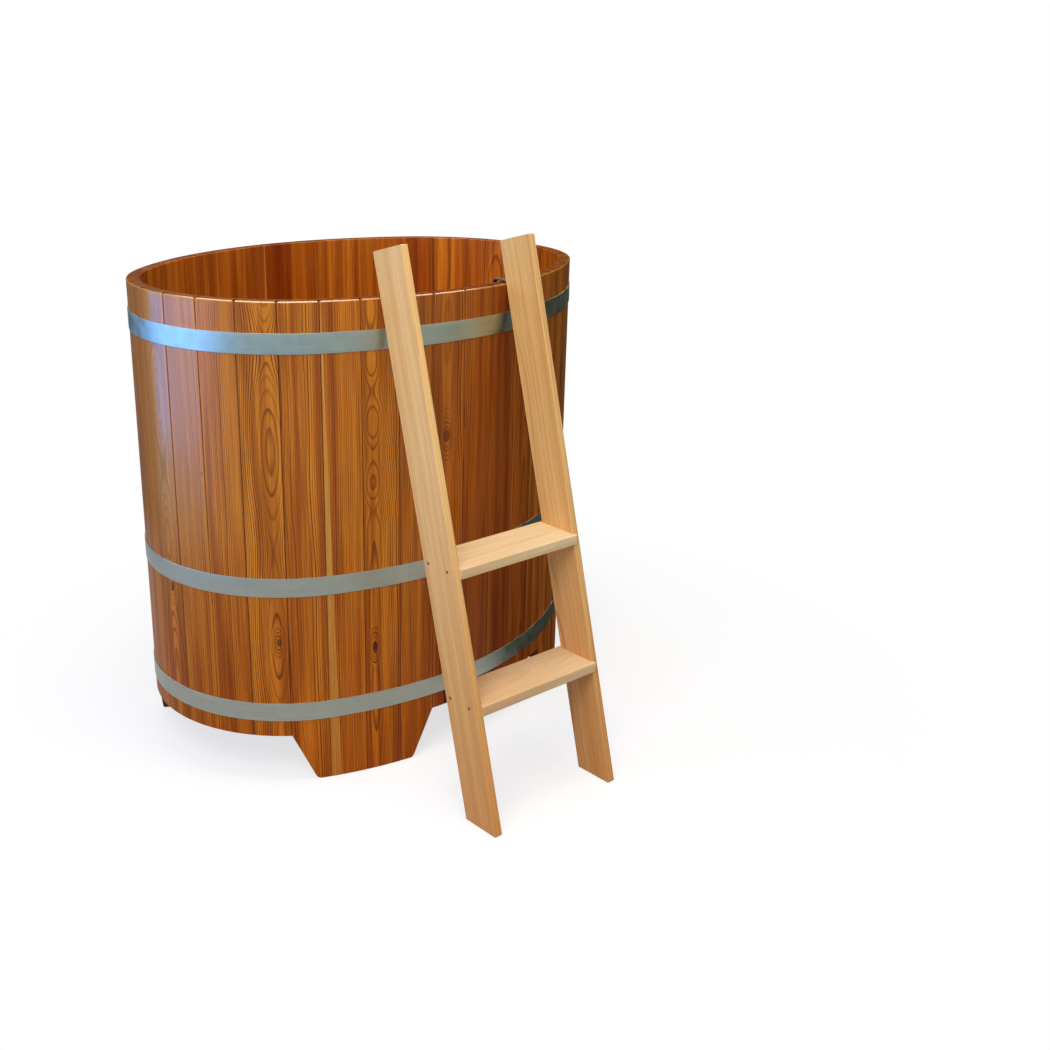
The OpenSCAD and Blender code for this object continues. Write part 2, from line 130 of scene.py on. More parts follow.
def set_surface(
    owner: bpy.types.Material | bpy.types.World, shader: Callable[[bpy.types.NodeTree], Socket]
) -> None:
    """Gives a material or a world its surface.

    Args:
        owner: The material or the world.
        shader: Builds the nodes in a tree and returns the surface shader's output.
    """
    owner.use_nodes = True
    tree = owner.node_tree
    tree.nodes.clear()
    kind = "World" if isinstance(owner, bpy.types.World) else "Material"
    out = tree.nodes.new("ShaderNodeOutput" + kind)
    tree.links.new(shader(tree), out.inputs["Surface"])


def mirrored_or_seen(tree: bpy.types.NodeTree) -> Socket:
    """Returns 1 for the rays of the camera, of gloss and of glass, and 0 for all others."""
    path = tree.nodes.new("ShaderNodeLightPath").outputs
    rays = {0: path["Is Camera Ray"], 1: path["Is Glossy Ray"]}
    seen = add_node(tree, "Math", rays, operation="MAXIMUM")
    return add_node(tree, "Math", {0: seen, 1: path["Is Transmission Ray"]}, operation="MAXIMUM")


def add_object(name: str, data: bpy.types.ID) -> bpy.types.Object:
    """Returns a new object of the data, linked to the scene."""
    made = bpy.data.objects.new(name, data)
    bpy.context.scene.collection.objects.link(made)
    return made


# ---------------------------------------------------------------------------------------------
# Finishes


class Finish:
    """Something that builds one material, once."""

    name: str

    def build(self) -> bpy.types.Material:
        """Returns the material, made on the first call."""
        material = bpy.data.materials.get(self.name)
        if material is None:
            material = bpy.data.materials.new(self.name)
            set_surface(material, self.shader)
        return material

    def shader(self, tree: bpy.types.NodeTree) -> Socket:
        """Returns the surface shader's output."""
        raise NotImplementedError


# What a board's mesh says at each point, besides its knots and its figure. Board is the place
# across it, deep in it and along it, from the ground, pith, tone and bow are its cut's, and the
# last is how dark grime and painted shade make a joint, how pale rubbed edges, painted
# highlights and the painted sheen make it, and how much end grain it is.
MARKS = {
    "board": ("x", "y", "z"),
    "pith": ("pith_x", "pith_y", "pith_slope"),
    "tone": ("shade", "sap_edge", "number"),
    "bow": ("bow_z", "bow_depth", "bow_step"),
    "wear_and_painted_light": ("dirty", "bare", "end"),
}
# Noises, each with its scale in cycles per metre across, deep and along a board, and its detail.
# Real fibres are far finer and would not show, so they are drawn this coarse.
NOISES = {
    "wander": ((4, 4, 2.4), 1.0),  # the trunk's wander, 250 mm across and 420 mm along
    "ripple": ((28, 28, 7), 1.0),  # its ripple, 36 by 140 mm
    "band": ((46, 46, 1.3), 2.0),  # broad bands of heartwood, 22 by 770 mm
    "streak": ((140, 140, 2.6), 2.0),  # narrow streaks, 7 by 380 mm
    "fibre": ((310, 310, 6), 2.0),  # fibres, 3 by 170 mm
    "fine": ((1100, 1100, 26), 1.0),  # fine fibres, 0.9 by 38 mm
}
KNOT_CORE = "3A1A08"
# Colour of the grime and painted shade in the joints
JOINT_DIRT_AND_SHADE = "2A1206"


@dataclass(frozen=True)
class Timber(Finish):
    """Sawn and planed softwood, drawn as a solid cut out of a ringed trunk.

    The rings are shells round a pith line beside or behind each board, so a face cut near the
    pith shows arches, a face cut across the rings shows straight lines, and the end grain shows
    arcs, all from the same rings.

    Attributes:
        name: The material's name.
        earlywood: Colour of a ring's pale part.
        latewood: Colour of its dark line.
        heart: Colour of the darker bands of heartwood.
        sapwood: Colour of the outer wood.
        ring_mm: Thickness of a year ring.
        ring_contrast: How strongly the rings show.
        fibre_contrast: How strongly the fibres show.
        band_contrast: How strongly the bands show.
        tone_contrast: How much lighter or darker one board is than the next.
        roughness: The planed face's roughness.
        specular: The strength of its gloss.
        wander_mm: How far the trunk wanders.
        grain_depth_mm: Depth of the grain's relief.
        ior: The oil's index of refraction.
        foot_tint: What the colour is multiplied by at the ground, darker and redder.
        foot_reach_mm: The height at which that has faded out.
        inner_painted_shade: The same tint's share inside the tub, as painted shade.
        inner_figure: The share of the rings and streaks that is left there.
        redden: Powers of the light that darken green and blue more than red.
        end_light: How pale a rubbed edge, a painted highlight and the painted sheen make the wood.
        end_dark: How dark end grain is.
        joint_dirt_and_shade: How dark the grime and painted shade in a joint are.
    """

    name: str
    earlywood: str
    latewood: str
    heart: str
    sapwood: str
    ring_mm: float
    ring_contrast: float
    fibre_contrast: float
    band_contrast: float
    tone_contrast: float
    roughness: float
    specular: float
    wander_mm: float
    grain_depth_mm: float
    ior: float = 1.5
    foot_tint: str = "FFFFFF"
    foot_reach_mm: float = 1.0
    inner_painted_shade: float = 0.0
    inner_figure: float = 1.0
    redden: Point = (1.3, 1.6)
    end_light: float = 0.35
    end_dark: float = 0.6
    joint_dirt_and_shade: float = 0.3

    def marks(self, add: AddNode) -> SimpleNamespace:
        """Returns the board's marks and the noises that vary it, each as a socket."""
        at = SimpleNamespace(figure=add("Attribute", output="Fac", attribute_name="figure"))
        for mark, parts in MARKS.items():
            whole = add("Attribute", output="Vector", attribute_name=mark)
            setattr(at, mark, whole)
            vars(at).update(zip(parts, add("SeparateXYZ", {0: whole}).node.outputs))
        at.seed = add("Math", {0: at.number, 1: 37.0}, operation="MULTIPLY")
        for name, (scale, detail) in NOISES.items():
            stretched = add("VectorMath", {0: at.board, 1: scale}, operation="MULTIPLY")
            inputs = {"Vector": stretched, "W": at.seed, "Scale": 1.0, "Detail": detail}
            even = add("TexNoise", inputs, noise_dimensions="4D")
            setattr(at, name, add("Math", {0: even, 1: 0.5}, operation="SUBTRACT"))
        at.inner = add("MapRange", {0: at.y, 1: 20 * MM, 2: 25 * MM})
        at.calm = add("MapRange", {0: at.inner, 3: 1.0, 4: self.inner_figure})
        at.streak = add("Math", {0: at.streak, 1: at.calm}, operation="MULTIPLY")
        return at

    def from_pith(self, add: AddNode, at: SimpleNamespace) -> tuple[Socket, Socket, Socket]:
        """Finds each point's place in the trunk.

        Args:
            add: Adds a node to the material.
            at: The board's marks and noises.

        Returns:
            How far across and how deep it lies from the pith, and how far it is inside a knot.
        """
        across = add("Math", {0: at.x, 1: at.pith_x}, operation="SUBTRACT")
        across = add("Math", {0: at.ripple, 1: 5 * MM, 2: across}, operation="MULTIPLY_ADD")
        depth = add("Math", {0: at.y, 1: at.pith_y}, operation="ADD")
        depth = add("Math", {0: at.z, 1: at.pith_slope, 2: depth}, operation="MULTIPLY_ADD")
        far = self.wander_mm * MM
        depth = add("Math", {0: at.wander, 1: far, 2: depth}, operation="MULTIPLY_ADD")
        # Bulges of the trunk are a wave along it that has faded two waves away from its middle
        away = add("Math", {0: at.z, 1: at.bow_z}, operation="SUBTRACT")
        turn = add("Math", {0: math.tau, 1: at.bow_step}, operation="DIVIDE")
        away = add("Math", {0: away, 1: turn}, operation="MULTIPLY")
        wave = add("Math", {0: away}, operation="COSINE")
        away = add("Math", {0: away}, operation="ABSOLUTE")
        fade = add("MapRange", {0: away, 1: 8.0, 2: 12.0, 3: -0.5, 4: 0.0}, **EASED)
        bulge = add("Math", {0: at.bow_depth, 1: fade}, operation="MULTIPLY")
        depth = add("Math", {0: wave, 1: bulge, 2: depth}, operation="MULTIPLY_ADD")
        # Rings bend round each knot, which is nearly twice as long as it is wide
        core: Any = 0.0
        for mark in ("knot_a", "knot_b"):
            knot = add("Attribute", output="Vector", attribute_name=mark)
            knot_x, knot_z, knot_radius = add("SeparateXYZ", {0: knot}).node.outputs
            kx = add("Math", {0: at.x, 1: knot_x}, operation="SUBTRACT")
            kz = add("Math", {0: at.z, 1: knot_z}, operation="SUBTRACT")
            kz = add("Math", {0: kz, 1: 0.55}, operation="MULTIPLY")
            away = add("CombineXYZ", {0: kx, 1: kz})
            away = add("VectorMath", {0: away}, "Value", operation="LENGTH")
            reach = add("Math", {0: away, 1: knot_radius}, operation="DIVIDE")
            swell = add("MapRange", {0: reach, 1: 0.8, 2: 4.5, 3: -2.4, 4: 0.0}, **EASED)
            depth = add("Math", {0: swell, 1: knot_radius, 2: depth}, operation="MULTIPLY_ADD")
            inside = add("MapRange", {0: reach, 1: 0.75, 2: 1.15, 3: 1.0, 4: 0.0}, **EASED)
            core = add("Math", {0: core, 1: inside}, operation="MAXIMUM")
        return across, depth, core

    def rings(self, add: AddNode, across: Socket, depth: Socket, seed: Socket) -> Socket:
        """Returns how much latewood shows: a ring darkens slowly and ends in a sharp line."""
        flat = add("CombineXYZ", {0: across, 1: depth})
        radius = add("VectorMath", {0: flat}, "Value", operation="LENGTH")
        # Wide and narrow years
        line = {"Scale": 1.0, "Detail": 1.0}
        uneven = add("Math", {0: radius, 1: 55.0, 2: seed}, operation="MULTIPLY_ADD")
        uneven = add("TexNoise", {"W": uneven, **line}, noise_dimensions="1D")
        count = add("Math", {0: radius, 1: self.ring_mm * MM}, operation="DIVIDE")
        count = add("Math", {0: uneven, 1: 2.6, 2: count}, operation="MULTIPLY_ADD")
        phase = add("Math", {0: count}, operation="FRACT")
        late = add("MapRange", {0: phase, 1: 0.54, 2: 0.92}, **EASED)
        ending = add("MapRange", {0: phase, 1: 0.93, 2: 1.0, 3: 1.0, 4: 0.0}, **EASED)
        late = add("Math", {0: late, 1: ending}, operation="MULTIPLY")
        # Strong and weak rings, one by one and in runs of years
        ring = add("Math", {0: count}, operation="FLOOR")
        ring = add("Math", {0: ring, 1: seed}, operation="ADD")
        strength = add("TexWhiteNoise", {"W": ring}, noise_dimensions="1D")
        strength = add("MapRange", {0: strength, 3: 0.45, 4: 1.1})
        late = add("Math", {0: late, 1: strength}, operation="MULTIPLY")
        years = add("Math", {0: count, 1: 0.17, 2: seed}, operation="MULTIPLY_ADD")
        years = add("TexNoise", {"W": years, **line}, noise_dimensions="1D")
        years = add("MapRange", {0: years, 1: 0.3, 2: 0.62, 3: 0.5, 4: 1.2}, **EASED)
        return add("Math", {0: late, 1: years}, operation="MULTIPLY")

    def timber_colour(self, add: AddNode, at: SimpleNamespace, late: Socket) -> Socket:
        """Returns the planed wood's colour: heartwood, sapwood, rings and fibres."""
        bands = add("Math", {0: at.streak, 1: 0.5, 2: at.band}, operation="MULTIPLY_ADD")
        bands = add("MapRange", {0: bands, 1: -0.17, 2: 0.17, 4: self.band_contrast}, **EASED)
        early = {0: bands, 6: linear(self.earlywood), 7: linear(self.heart)}
        colour = add("Mix", early, **COLOURS)
        # The sapwood's edge leans across the board by 20 mm in each metre
        lean = add("Math", {0: 0.7, 1: at.z}, operation="SUBTRACT")
        edge = add("Math", {0: lean, 1: 0.02, 2: at.sap_edge}, operation="MULTIPLY_ADD")
        near = add("Math", {0: at.ripple, 1: 3 * MM, 2: at.x}, operation="MULTIPLY_ADD")
        sap = add("Math", {0: near, 1: edge}, operation="LESS_THAN")
        colour = add("Mix", {0: sap, 6: colour, 7: linear(self.sapwood)}, **COLOURS)
        soft = add("MapRange", {0: sap, 3: self.ring_contrast, 4: self.ring_contrast / 2})
        soft = add("Math", {0: soft, 1: at.calm}, operation="MULTIPLY")
        soft = add("Math", {0: soft, 1: at.figure}, operation="MULTIPLY")
        rings = add("Math", {0: late, 1: soft}, operation="MULTIPLY", use_clamp=True)
        colour = add("Mix", {0: rings, 6: colour, 7: linear(self.latewood)}, **COLOURS)
        light: Any = 1.0
        for socket, contrast in (
            (at.shade, self.tone_contrast),
            (at.fibre, self.fibre_contrast),
            (at.fine, self.fibre_contrast / 2),
            (at.streak, self.fibre_contrast * 0.6),
        ):
            light = add("Math", {0: socket, 1: contrast, 2: light}, operation="MULTIPLY_ADD")
        # Darker wood is redder as well
        light = add("Math", {0: light, 1: 0.2}, operation="MAXIMUM")
        green = add("Math", {0: light, 1: self.redden[0]}, operation="POWER")
        blue = add("Math", {0: light, 1: self.redden[1]}, operation="POWER")
        light = add("CombineXYZ", {0: light, 1: green, 2: blue})
        return add("VectorMath", {0: colour, 1: light}, operation="MULTIPLY")

    def used_colour(
        self, add: AddNode, at: SimpleNamespace, colour: Socket, core: Socket, dirt: Socket
    ) -> Socket:
        """Returns the colour with its knots, its tint at the ground, painted shade, painted
        highlights, rubbing and grime.

        Args:
            add: Adds a node to the material.
            at: The board's marks and noises.
            colour: The planed wood's colour.
            core: How far a point is inside a knot.
            dirt: How dark grime and painted shade in a joint make it.

        Returns:
            The colour of the board in use.
        """
        # A knot's core is nearly black
        dark = add("Mix", {0: 0.8, 6: colour, 7: linear(KNOT_CORE)}, **COLOURS)
        core = add("Math", {0: core, 1: 0.85}, operation="MULTIPLY")
        colour = add("Mix", {0: core, 6: colour, 7: dark}, **COLOURS)
        # Boards get darker and redder towards the ground, and painted shade darkens the tub's
        # inside
        low = add("MapRange", {0: at.z, 1: 0.0, 2: self.foot_reach_mm * MM, 3: 0.6, 4: 0.0})
        inner = add("Math", {0: at.inner, 1: self.inner_painted_shade}, operation="MULTIPLY")
        low = add("Math", {0: low, 1: inner}, operation="MAXIMUM")
        ground_tint_and_inner_shade = {0: low, 6: colour, 7: linear(self.foot_tint)}
        colour = add("Mix", ground_tint_and_inner_shade, blend_type="MULTIPLY", **COLOURS)
        # Rubbed edges, painted highlights and the painted sheen are paler, grime and painted shade
        # darken the joints, and end grain drinks oil and is darker
        bare = add("Math", {0: at.bare, 1: self.end_light}, operation="MULTIPLY")
        colour = add("Mix", {0: bare, 6: colour, 7: linear(self.sapwood)}, **COLOURS)
        colour = add("Mix", {0: dirt, 6: colour, 7: linear(JOINT_DIRT_AND_SHADE)}, **COLOURS)
        ends = add("Math", {0: at.end, 1: self.end_dark}, operation="MULTIPLY")
        return add("Mix", {0: ends, 6: colour, 7: linear(self.latewood)}, **COLOURS)

    def shader(self, tree: bpy.types.NodeTree) -> Socket:
        """Returns the surface shader's output."""
        add = partial(add_node, tree)
        at = self.marks(add)
        across, depth, core = self.from_pith(add, at)
        late = self.rings(add, across, depth, at.seed)
        colour = self.timber_colour(add, at, late)
        dirt = add("Math", {0: at.dirty, 1: self.joint_dirt_and_shade}, operation="MULTIPLY", use_clamp=True)
        colour = self.used_colour(add, at, colour, core, dirt)

        # Heartwood and fibres vary the roughness, and rubbed edges, painted highlights and the
        # painted sheen are smoother and glossier
        gloss: Any = self.roughness
        for socket, change in ((at.band, 0.16), (at.fibre, 0.08), (at.bare, -0.18)):
            gloss = add("Math", {0: socket, 1: change, 2: gloss}, operation="MULTIPLY_ADD")
        # Water has taken some of the oil near the ground
        low = {1: 0.1, 2: 0.8, 3: self.specular * 0.35, 4: self.specular}
        shine = add("MapRange", {0: at.z, **low})
        for socket, change in ((at.bare, 0.7), (at.end, -0.2)):
            shine = add("Math", {0: socket, 1: change, 2: shine}, operation="MULTIPLY_ADD")
        # Grime and painted shade in the joints take away their gloss as well, so the rim's notches
        # stay dark
        clear = add("Math", {0: 1.0, 1: dirt}, operation="SUBTRACT")
        shine = add("Math", {0: shine, 1: clear}, operation="MULTIPLY")
        height = add("Math", {0: late, 1: at.fibre}, operation="ADD")
        relief = {"Strength": 0.6, "Distance": self.grain_depth_mm * MM / 2, "Height": height}
        wood = {
            "Base Color": colour,
            "Roughness": gloss,
            "IOR": self.ior,
            "Specular IOR Level": shine,
            "Normal": add("Bump", relief),
        }
        return add("BsdfPrincipled", wood)


@dataclass(frozen=True)
class Steel(Finish):
    """Rolled, drawn or turned steel with fine lines along its work and a light mottle.

    Attributes:
        name: The material's name.
        colour: The metal's own colour.
        shade: The darker colour of lines and patches.
        roughness: The usual roughness, which the mottle varies.
        line_mm: Distance of the lines. Real ones are finer and are drawn so wide to show.
        line_contrast: How strongly the lines show.
        mottle_mm: Size of the patches.
        along: Whether the lines run along X, Y and Z.
        speck: How strongly pale specks show.
        anisotropy: How far the lines draw out the gloss.
    """

    name: str
    colour: str
    shade: str
    roughness: float
    line_mm: float
    line_contrast: float
    mottle_mm: float
    along: tuple[bool, bool, bool] = (False, False, False)
    speck: float = 0.0
    anisotropy: float = 0.0

    def shader(self, tree: bpy.types.NodeTree) -> Socket:
        """Returns the surface shader's output."""
        add = partial(add_node, tree)
        place = add("TexCoord", output="Object")
        # Along the work a line is fifty times as long as it is wide
        per_line = 1 / (self.line_mm * MM)
        scale = tuple(per_line * (0.02 if on else 1.0) for on in self.along)
        lined = add("VectorMath", {0: place, 1: scale}, operation="MULTIPLY")
        lines = add("TexNoise", {"Vector": lined, "Scale": 1.0, "Detail": 3.0})
        per_patch = 1 / (self.mottle_mm * MM)
        mottle = add("TexNoise", {"Vector": place, "Scale": per_patch, "Detail": 4.0})
        dark = linear(self.shade)
        line = add("MapRange", {0: lines, 1: 0.3, 2: 0.7, 3: 0.0, 4: self.line_contrast})
        colour = add("Mix", {0: line, 6: linear(self.colour), 7: dark}, **COLOURS)
        patch = add("MapRange", {0: mottle, 1: 0.35, 2: 0.75, 3: 0.0, 4: 0.35})
        colour = add("Mix", {0: patch, 6: colour, 7: dark}, **COLOURS)
        # Pale specks of zinc and dried water, about 1 mm across and 24 mm apart
        dots = add("TexVoronoi", {"Vector": place, "Scale": 42.0}, "Distance")
        dot = add("MapRange", {0: dots, 1: 0.035, 2: 0.05, 3: self.speck, 4: 0.0})
        colour = add("Mix", {0: dot, 6: colour, 7: linear("E4E6E2")}, **COLOURS)
        rough = {3: self.roughness - 0.05, 4: self.roughness + 0.08}
        relief = {"Strength": 0.25, "Distance": 0.05 * MM, "Height": lines}
        steel = {
            "Base Color": colour,
            "Metallic": 1.0,
            "Roughness": add("MapRange", {0: mottle, 1: 0.3, 2: 0.7, **rough}),
            "Anisotropic": self.anisotropy,
            "Normal": add("Bump", relief),
        }
        return add("BsdfPrincipled", steel)


@dataclass(frozen=True)
class Rubber(Finish):
    """Moulded black rubber, faintly uneven and chalky where it is handled."""

    name: str
    colour: str
    chalk: str
    roughness: float

    def shader(self, tree: bpy.types.NodeTree) -> Socket:
        """Returns the surface shader's output."""
        add = partial(add_node, tree)
        place = add("TexCoord", output="Object")
        # Clouds of chalk 8 mm across, and pits that are drawn 0.7 mm wide so that they show
        cloud = add("TexNoise", {"Vector": place, "Scale": 120.0, "Detail": 4.0})
        pits = add("TexNoise", {"Vector": place, "Scale": 1400.0, "Detail": 2.0})
        factor = add("MapRange", {0: cloud, 1: 0.4, 2: 0.8, 3: 0.0, 4: 0.5})
        chalky = {0: factor, 6: linear(self.colour), 7: linear(self.chalk)}
        rubber = {
            "Base Color": add("Mix", chalky, **COLOURS),
            "Roughness": self.roughness,
            "IOR": 1.52,
            "Normal": add("Bump", {"Strength": 0.3, "Distance": 0.06 * MM, "Height": pits}),
        }
        return add("BsdfPrincipled", rubber)


# Oiled and varnished larch: strong dark latewood under an even warm gloss. The real rings stand
# 1 to 3 mm apart; they are drawn wider so that they show at this distance.
STAVE_LARCH = Timber(
    name="oiled_larch_staves",
    earlywood="C6781E",
    latewood="5A2604",
    heart="8E4408",
    sapwood="C48A3C",
    ring_mm=3.4,
    ring_contrast=1.0,
    fibre_contrast=0.6,
    band_contrast=0.9,
    tone_contrast=0.2,
    roughness=0.33,
    specular=0.3,
    wander_mm=26.0,
    grain_depth_mm=0.12,
    foot_tint="F4BE7C",
    foot_reach_mm=560.0,
    inner_painted_shade=0.6,
    inner_figure=0.6,
    redden=(1.8, 2.8),
    end_light=0.5,
)

# The same larch, flatter and redder from standing in water
FLOOR_LARCH = Timber(
    name="wet_larch_floor",
    earlywood="A4601E",
    latewood="5A2808",
    heart="86420E",
    sapwood="B47C3C",
    ring_mm=3.4,
    ring_contrast=0.55,
    fibre_contrast=0.3,
    band_contrast=0.7,
    tone_contrast=0.12,
    roughness=0.45,
    specular=0.25,
    wander_mm=22.0,
    grain_depth_mm=0.15,
)

# Planed spruce, thinly oiled: pale honey, even grain, rings barely darker. Its real rings stand
# 1 to 4 mm apart and are drawn wider too.
LADDER_SPRUCE = Timber(
    name="planed_spruce_boards",
    earlywood="E8BE7C",
    latewood="A8723A",
    heart="D49C54",
    sapwood="E4CA9E",
    ring_mm=5.6,
    ring_contrast=0.42,
    fibre_contrast=0.3,
    band_contrast=0.55,
    tone_contrast=0.06,
    roughness=0.5,
    specular=0.4,
    wander_mm=34.0,
    grain_depth_mm=0.08,
    foot_tint="D89850",
    foot_reach_mm=740.0,
)

# Galvanised strip, cold rolled: grey-green zinc, lines along the strip, dull spangle
HOOP_STEEL = Steel(
    name="galvanised_strip_hoops",
    colour="B8C2BA",
    shade="9EA79F",
    roughness=0.33,
    line_mm=1.6,
    line_contrast=0.5,
    mottle_mm=24.0,
    along=(True, True, False),
    speck=0.5,
    anisotropy=0.45,
)
# The same strip bent to a hook: duller, and its lines run across the rim
HOOK_STEEL = Steel(
    name="galvanised_strip_hook",
    colour="7E8A86",
    shade="5F6864",
    roughness=0.38,
    line_mm=0.8,
    line_contrast=0.4,
    mottle_mm=9.0,
    along=(False, True, True),
)
# Cold-headed rivets: small bright domes
RIVET_STEEL = Steel(
    name="bright_steel_rivets",
    colour="B9BAB6",
    shade="83857F",
    roughness=0.3,
    line_mm=0.6,
    line_contrast=0.3,
    mottle_mm=4.0,
)
# Drawn steel screws that damp wood has darkened: dull and brownish
SCREW_STEEL = Steel(
    name="dull_steel_screws",
    colour="7A6A56",
    shade="4A4034",
    roughness=0.42,
    line_mm=0.5,
    line_contrast=0.4,
    mottle_mm=2.0,
)
# Turned stainless steel: the palest and smoothest of the metals
DRAIN_STEEL = Steel(
    name="turned_stainless_drain",
    colour="AAACAC",
    shade="868989",
    roughness=0.28,
    line_mm=0.5,
    line_contrast=0.35,
    mottle_mm=18.0,
)
# Moulded rubber has a low sheen, and rubber cut from sheet has almost none
PLUG_RUBBER = Rubber(name="moulded_rubber_plug", colour="1C1B1A", chalk="3A3835", roughness=0.55)
GASKET_RUBBER = Rubber(name="cut_rubber_gasket", colour="141414", chalk="2A2928", roughness=0.7)


# ---------------------------------------------------------------------------------------------
# Boards and meshes

FAR_KNOT = (9.0, 9.0, 1e-4)


@dataclass(frozen=True)
class Cut:
    """How a board was sawn out of the trunk, and what shows on it.

    Attributes:
        pith: Place of the pith across the board, its depth behind the face, and how much deeper
            it lies for each metre along the board.
        shade: How much lighter or darker than the usual the board is. Most lie from -1 to 1.
        sap: The board is pale sapwood below this place across it, in metres.
        knots: Up to two knots, each as place across, place along and radius, in metres.
        sheen: How much painted sheen the face has, from 0 to 1: paler and glossier.
        bow: Where along the board the trunk bulged towards its face, how deep the bulges are, and
            the distance from one to the next, in metres. Each shows as closed ovals of grain.
        figure: How strongly the rings show, against the usual.
        seed: A number that no other board has.
    """

    pith: Triple
    shade: float = 0.0
    sap: float = -1.0
    knots: Sequence[Triple] = ()
    bow: Triple = (0.0, 0.0, 1.0)
    sheen: float = 0.0
    figure: float = 1.0
    seed: float = 0.0

    def carry(
        self, mesh: bpy.types.Mesh, places: Sequence[Triple], wear_and_painted_light: Sequence[Triple]
    ) -> None:
        """Writes the cut and each vertex's place in the board onto the mesh.

        Args:
            mesh: The board's mesh.
            places: For each vertex its place across, deep in and along the board.
            wear_and_painted_light: For each vertex how dark grime and painted shade make it, how
                pale rubbed edges, painted highlights and the painted sheen make it, and how much
                end grain it is. 0 is none and 1 the usual for such a place; the rim's notches get
                more than 1 of grime and painted shade.
        """
        count = len(mesh.vertices)
        knot_a, knot_b = [*self.knots, FAR_KNOT, FAR_KNOT][:2]
        same = {
            "pith": self.pith,
            "tone": (self.shade, self.sap, self.seed),
            "knot_a": knot_a,
            "knot_b": knot_b,
            "bow": self.bow,
        }
        values = {name: [value] * count for name, value in same.items()}
        for name, vectors in {**values, "board": places, "wear_and_painted_light": wear_and_painted_light}.items():
            layer = mesh.attributes.new(name, "FLOAT_VECTOR", "POINT")
            layer.data.foreach_set("vector", [part for vector in vectors for part in vector])
        layer = mesh.attributes.new("figure", "FLOAT", "POINT")
        layer.data.foreach_set("value", [self.figure] * count)


class Figure(Enum):
    """The ways a board is sawn, by where the pith lies: across, and deep, in metres."""

    QUARTER = (0.17, 0.05)
    RIFT = (0.075, 0.07)
    FLAT = (0.004, 0.05)

    def cut(self, rng: random.Random, seed: float, **marks: Any) -> Cut:
        """Returns a cut of this kind with its own marks, varied by the random numbers."""
        side = rng.choice((-1, 1))
        across, depth = self.value
        if self is Figure.FLAT:
            slope = rng.uniform(0.008, 0.02) * rng.choice((-1, 1))
        else:
            slope = rng.uniform(-0.006, 0.006)
        marks = {"shade": rng.uniform(-1, 1), **marks}
        pith = (side * across * rng.uniform(0.7, 1.3), depth * rng.uniform(0.8, 1.3), slope)
        return Cut(pith, seed=seed, **marks)


def reshape(
    mesh: bpy.types.Mesh,
    change: Callable[[bmesh.types.BMesh], None],
    sharp_degrees: float = SHARP_DEGREES,
) -> None:
    """Changes a mesh and shades it smooth up to an angle.

    Args:
        mesh: The mesh.
        change: Changes its editable form.
        sharp_degrees: Edges that turn more than this stay sharp.
    """
    form = bmesh.new()
    form.from_mesh(mesh)
    change(form)
    for face in form.faces:
        face.smooth = True
    limit = math.radians(sharp_degrees)
    for edge in form.edges:
        edge.smooth = len(edge.link_faces) == 2 and edge.calc_face_angle(0.0) < limit
    form.to_mesh(mesh)
    form.free()


def turn_outwards(form: bmesh.types.BMesh) -> None:
    """Lets all faces of a closed form look outwards."""
    bmesh.ops.recalc_face_normals(form, faces=form.faces)


def weld(form: bmesh.types.BMesh) -> None:
    """Joins the points that lie in one place, drops faces with no area and turns the rest."""
    apart = 0.01 * MM
    bmesh.ops.remove_doubles(form, verts=form.verts, dist=apart)
    bmesh.ops.dissolve_degenerate(form, dist=apart, edges=form.edges)
    turn_outwards(form)


def simplify(form: bmesh.types.BMesh) -> None:
    """Joins the frame's flat triangles to faces, so that a board is shaded evenly."""
    bmesh.ops.remove_doubles(form, verts=form.verts, dist=0.002 * MM)
    bmesh.ops.dissolve_limit(
        form,
        angle_limit=math.radians(0.3),
        verts=form.verts,
        edges=form.edges,
        use_dissolve_boundaries=False,
    )
    bmesh.ops.triangulate(form, faces=[f for f in form.faces if len(f.verts) > 4])


def link_mesh(name: str, mesh: bpy.types.Mesh, finish: Finish) -> bpy.types.Object:
    """Returns a new object of the mesh in the finish, with its shading weighted to large faces."""
    mesh.materials.clear()
    mesh.materials.append(finish.build())
    piece = add_object(name, mesh)
    weighted = piece.modifiers.new("soft_edges", "WEIGHTED_NORMAL")
    weighted.keep_sharp = True
    return piece


def make_object(
    name: str,
    verts: Sequence[Sequence[float]],
    faces: Faces,
    finish: Finish,
    change: Callable[[bmesh.types.BMesh], None] = turn_outwards,
    sharp_degrees: float = SHARP_DEGREES,
) -> bpy.types.Object:
    """Makes an object that is shaded smooth up to an angle.

    Args:
        name: The piece's name.
        verts: Its points in metres in the row frame.
        faces: Its faces as point numbers.
        finish: Its finish.
        change: What is done to its form.
        sharp_degrees: Edges that turn more than this stay sharp.

    Returns:
        The new object, linked to the scene.
    """
    mesh = bpy.data.meshes.new(name)
    mesh.from_pydata(verts, [], faces)
    mesh.validate()
    reshape(mesh, change, sharp_degrees)
    return link_mesh(name, mesh, finish)


def place_piece(piece: bpy.types.Object, body: str, node: str) -> None:
    """Lets a piece ride on a body and stand for a frame node."""
    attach(piece, body)
    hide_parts(node)
    log.info("%s: %d faces on %s for %s", piece.name, len(piece.data.polygons), body, node)


def add_shape(verts: list[Vector], faces: Faces, shape: tuple[list[Vector], Faces]) -> None:
    """Adds a shape's points and faces to lists of them."""
    start = len(verts)
    verts += shape[0]
    faces += [[start + i for i in face] for face in shape[1]]


def ring_pairs(count: int) -> list[tuple[int, int]]:
    """Returns each number below a count with the next one, and the last with the first."""
    return [(j, (j + 1) % count) for j in range(count)]


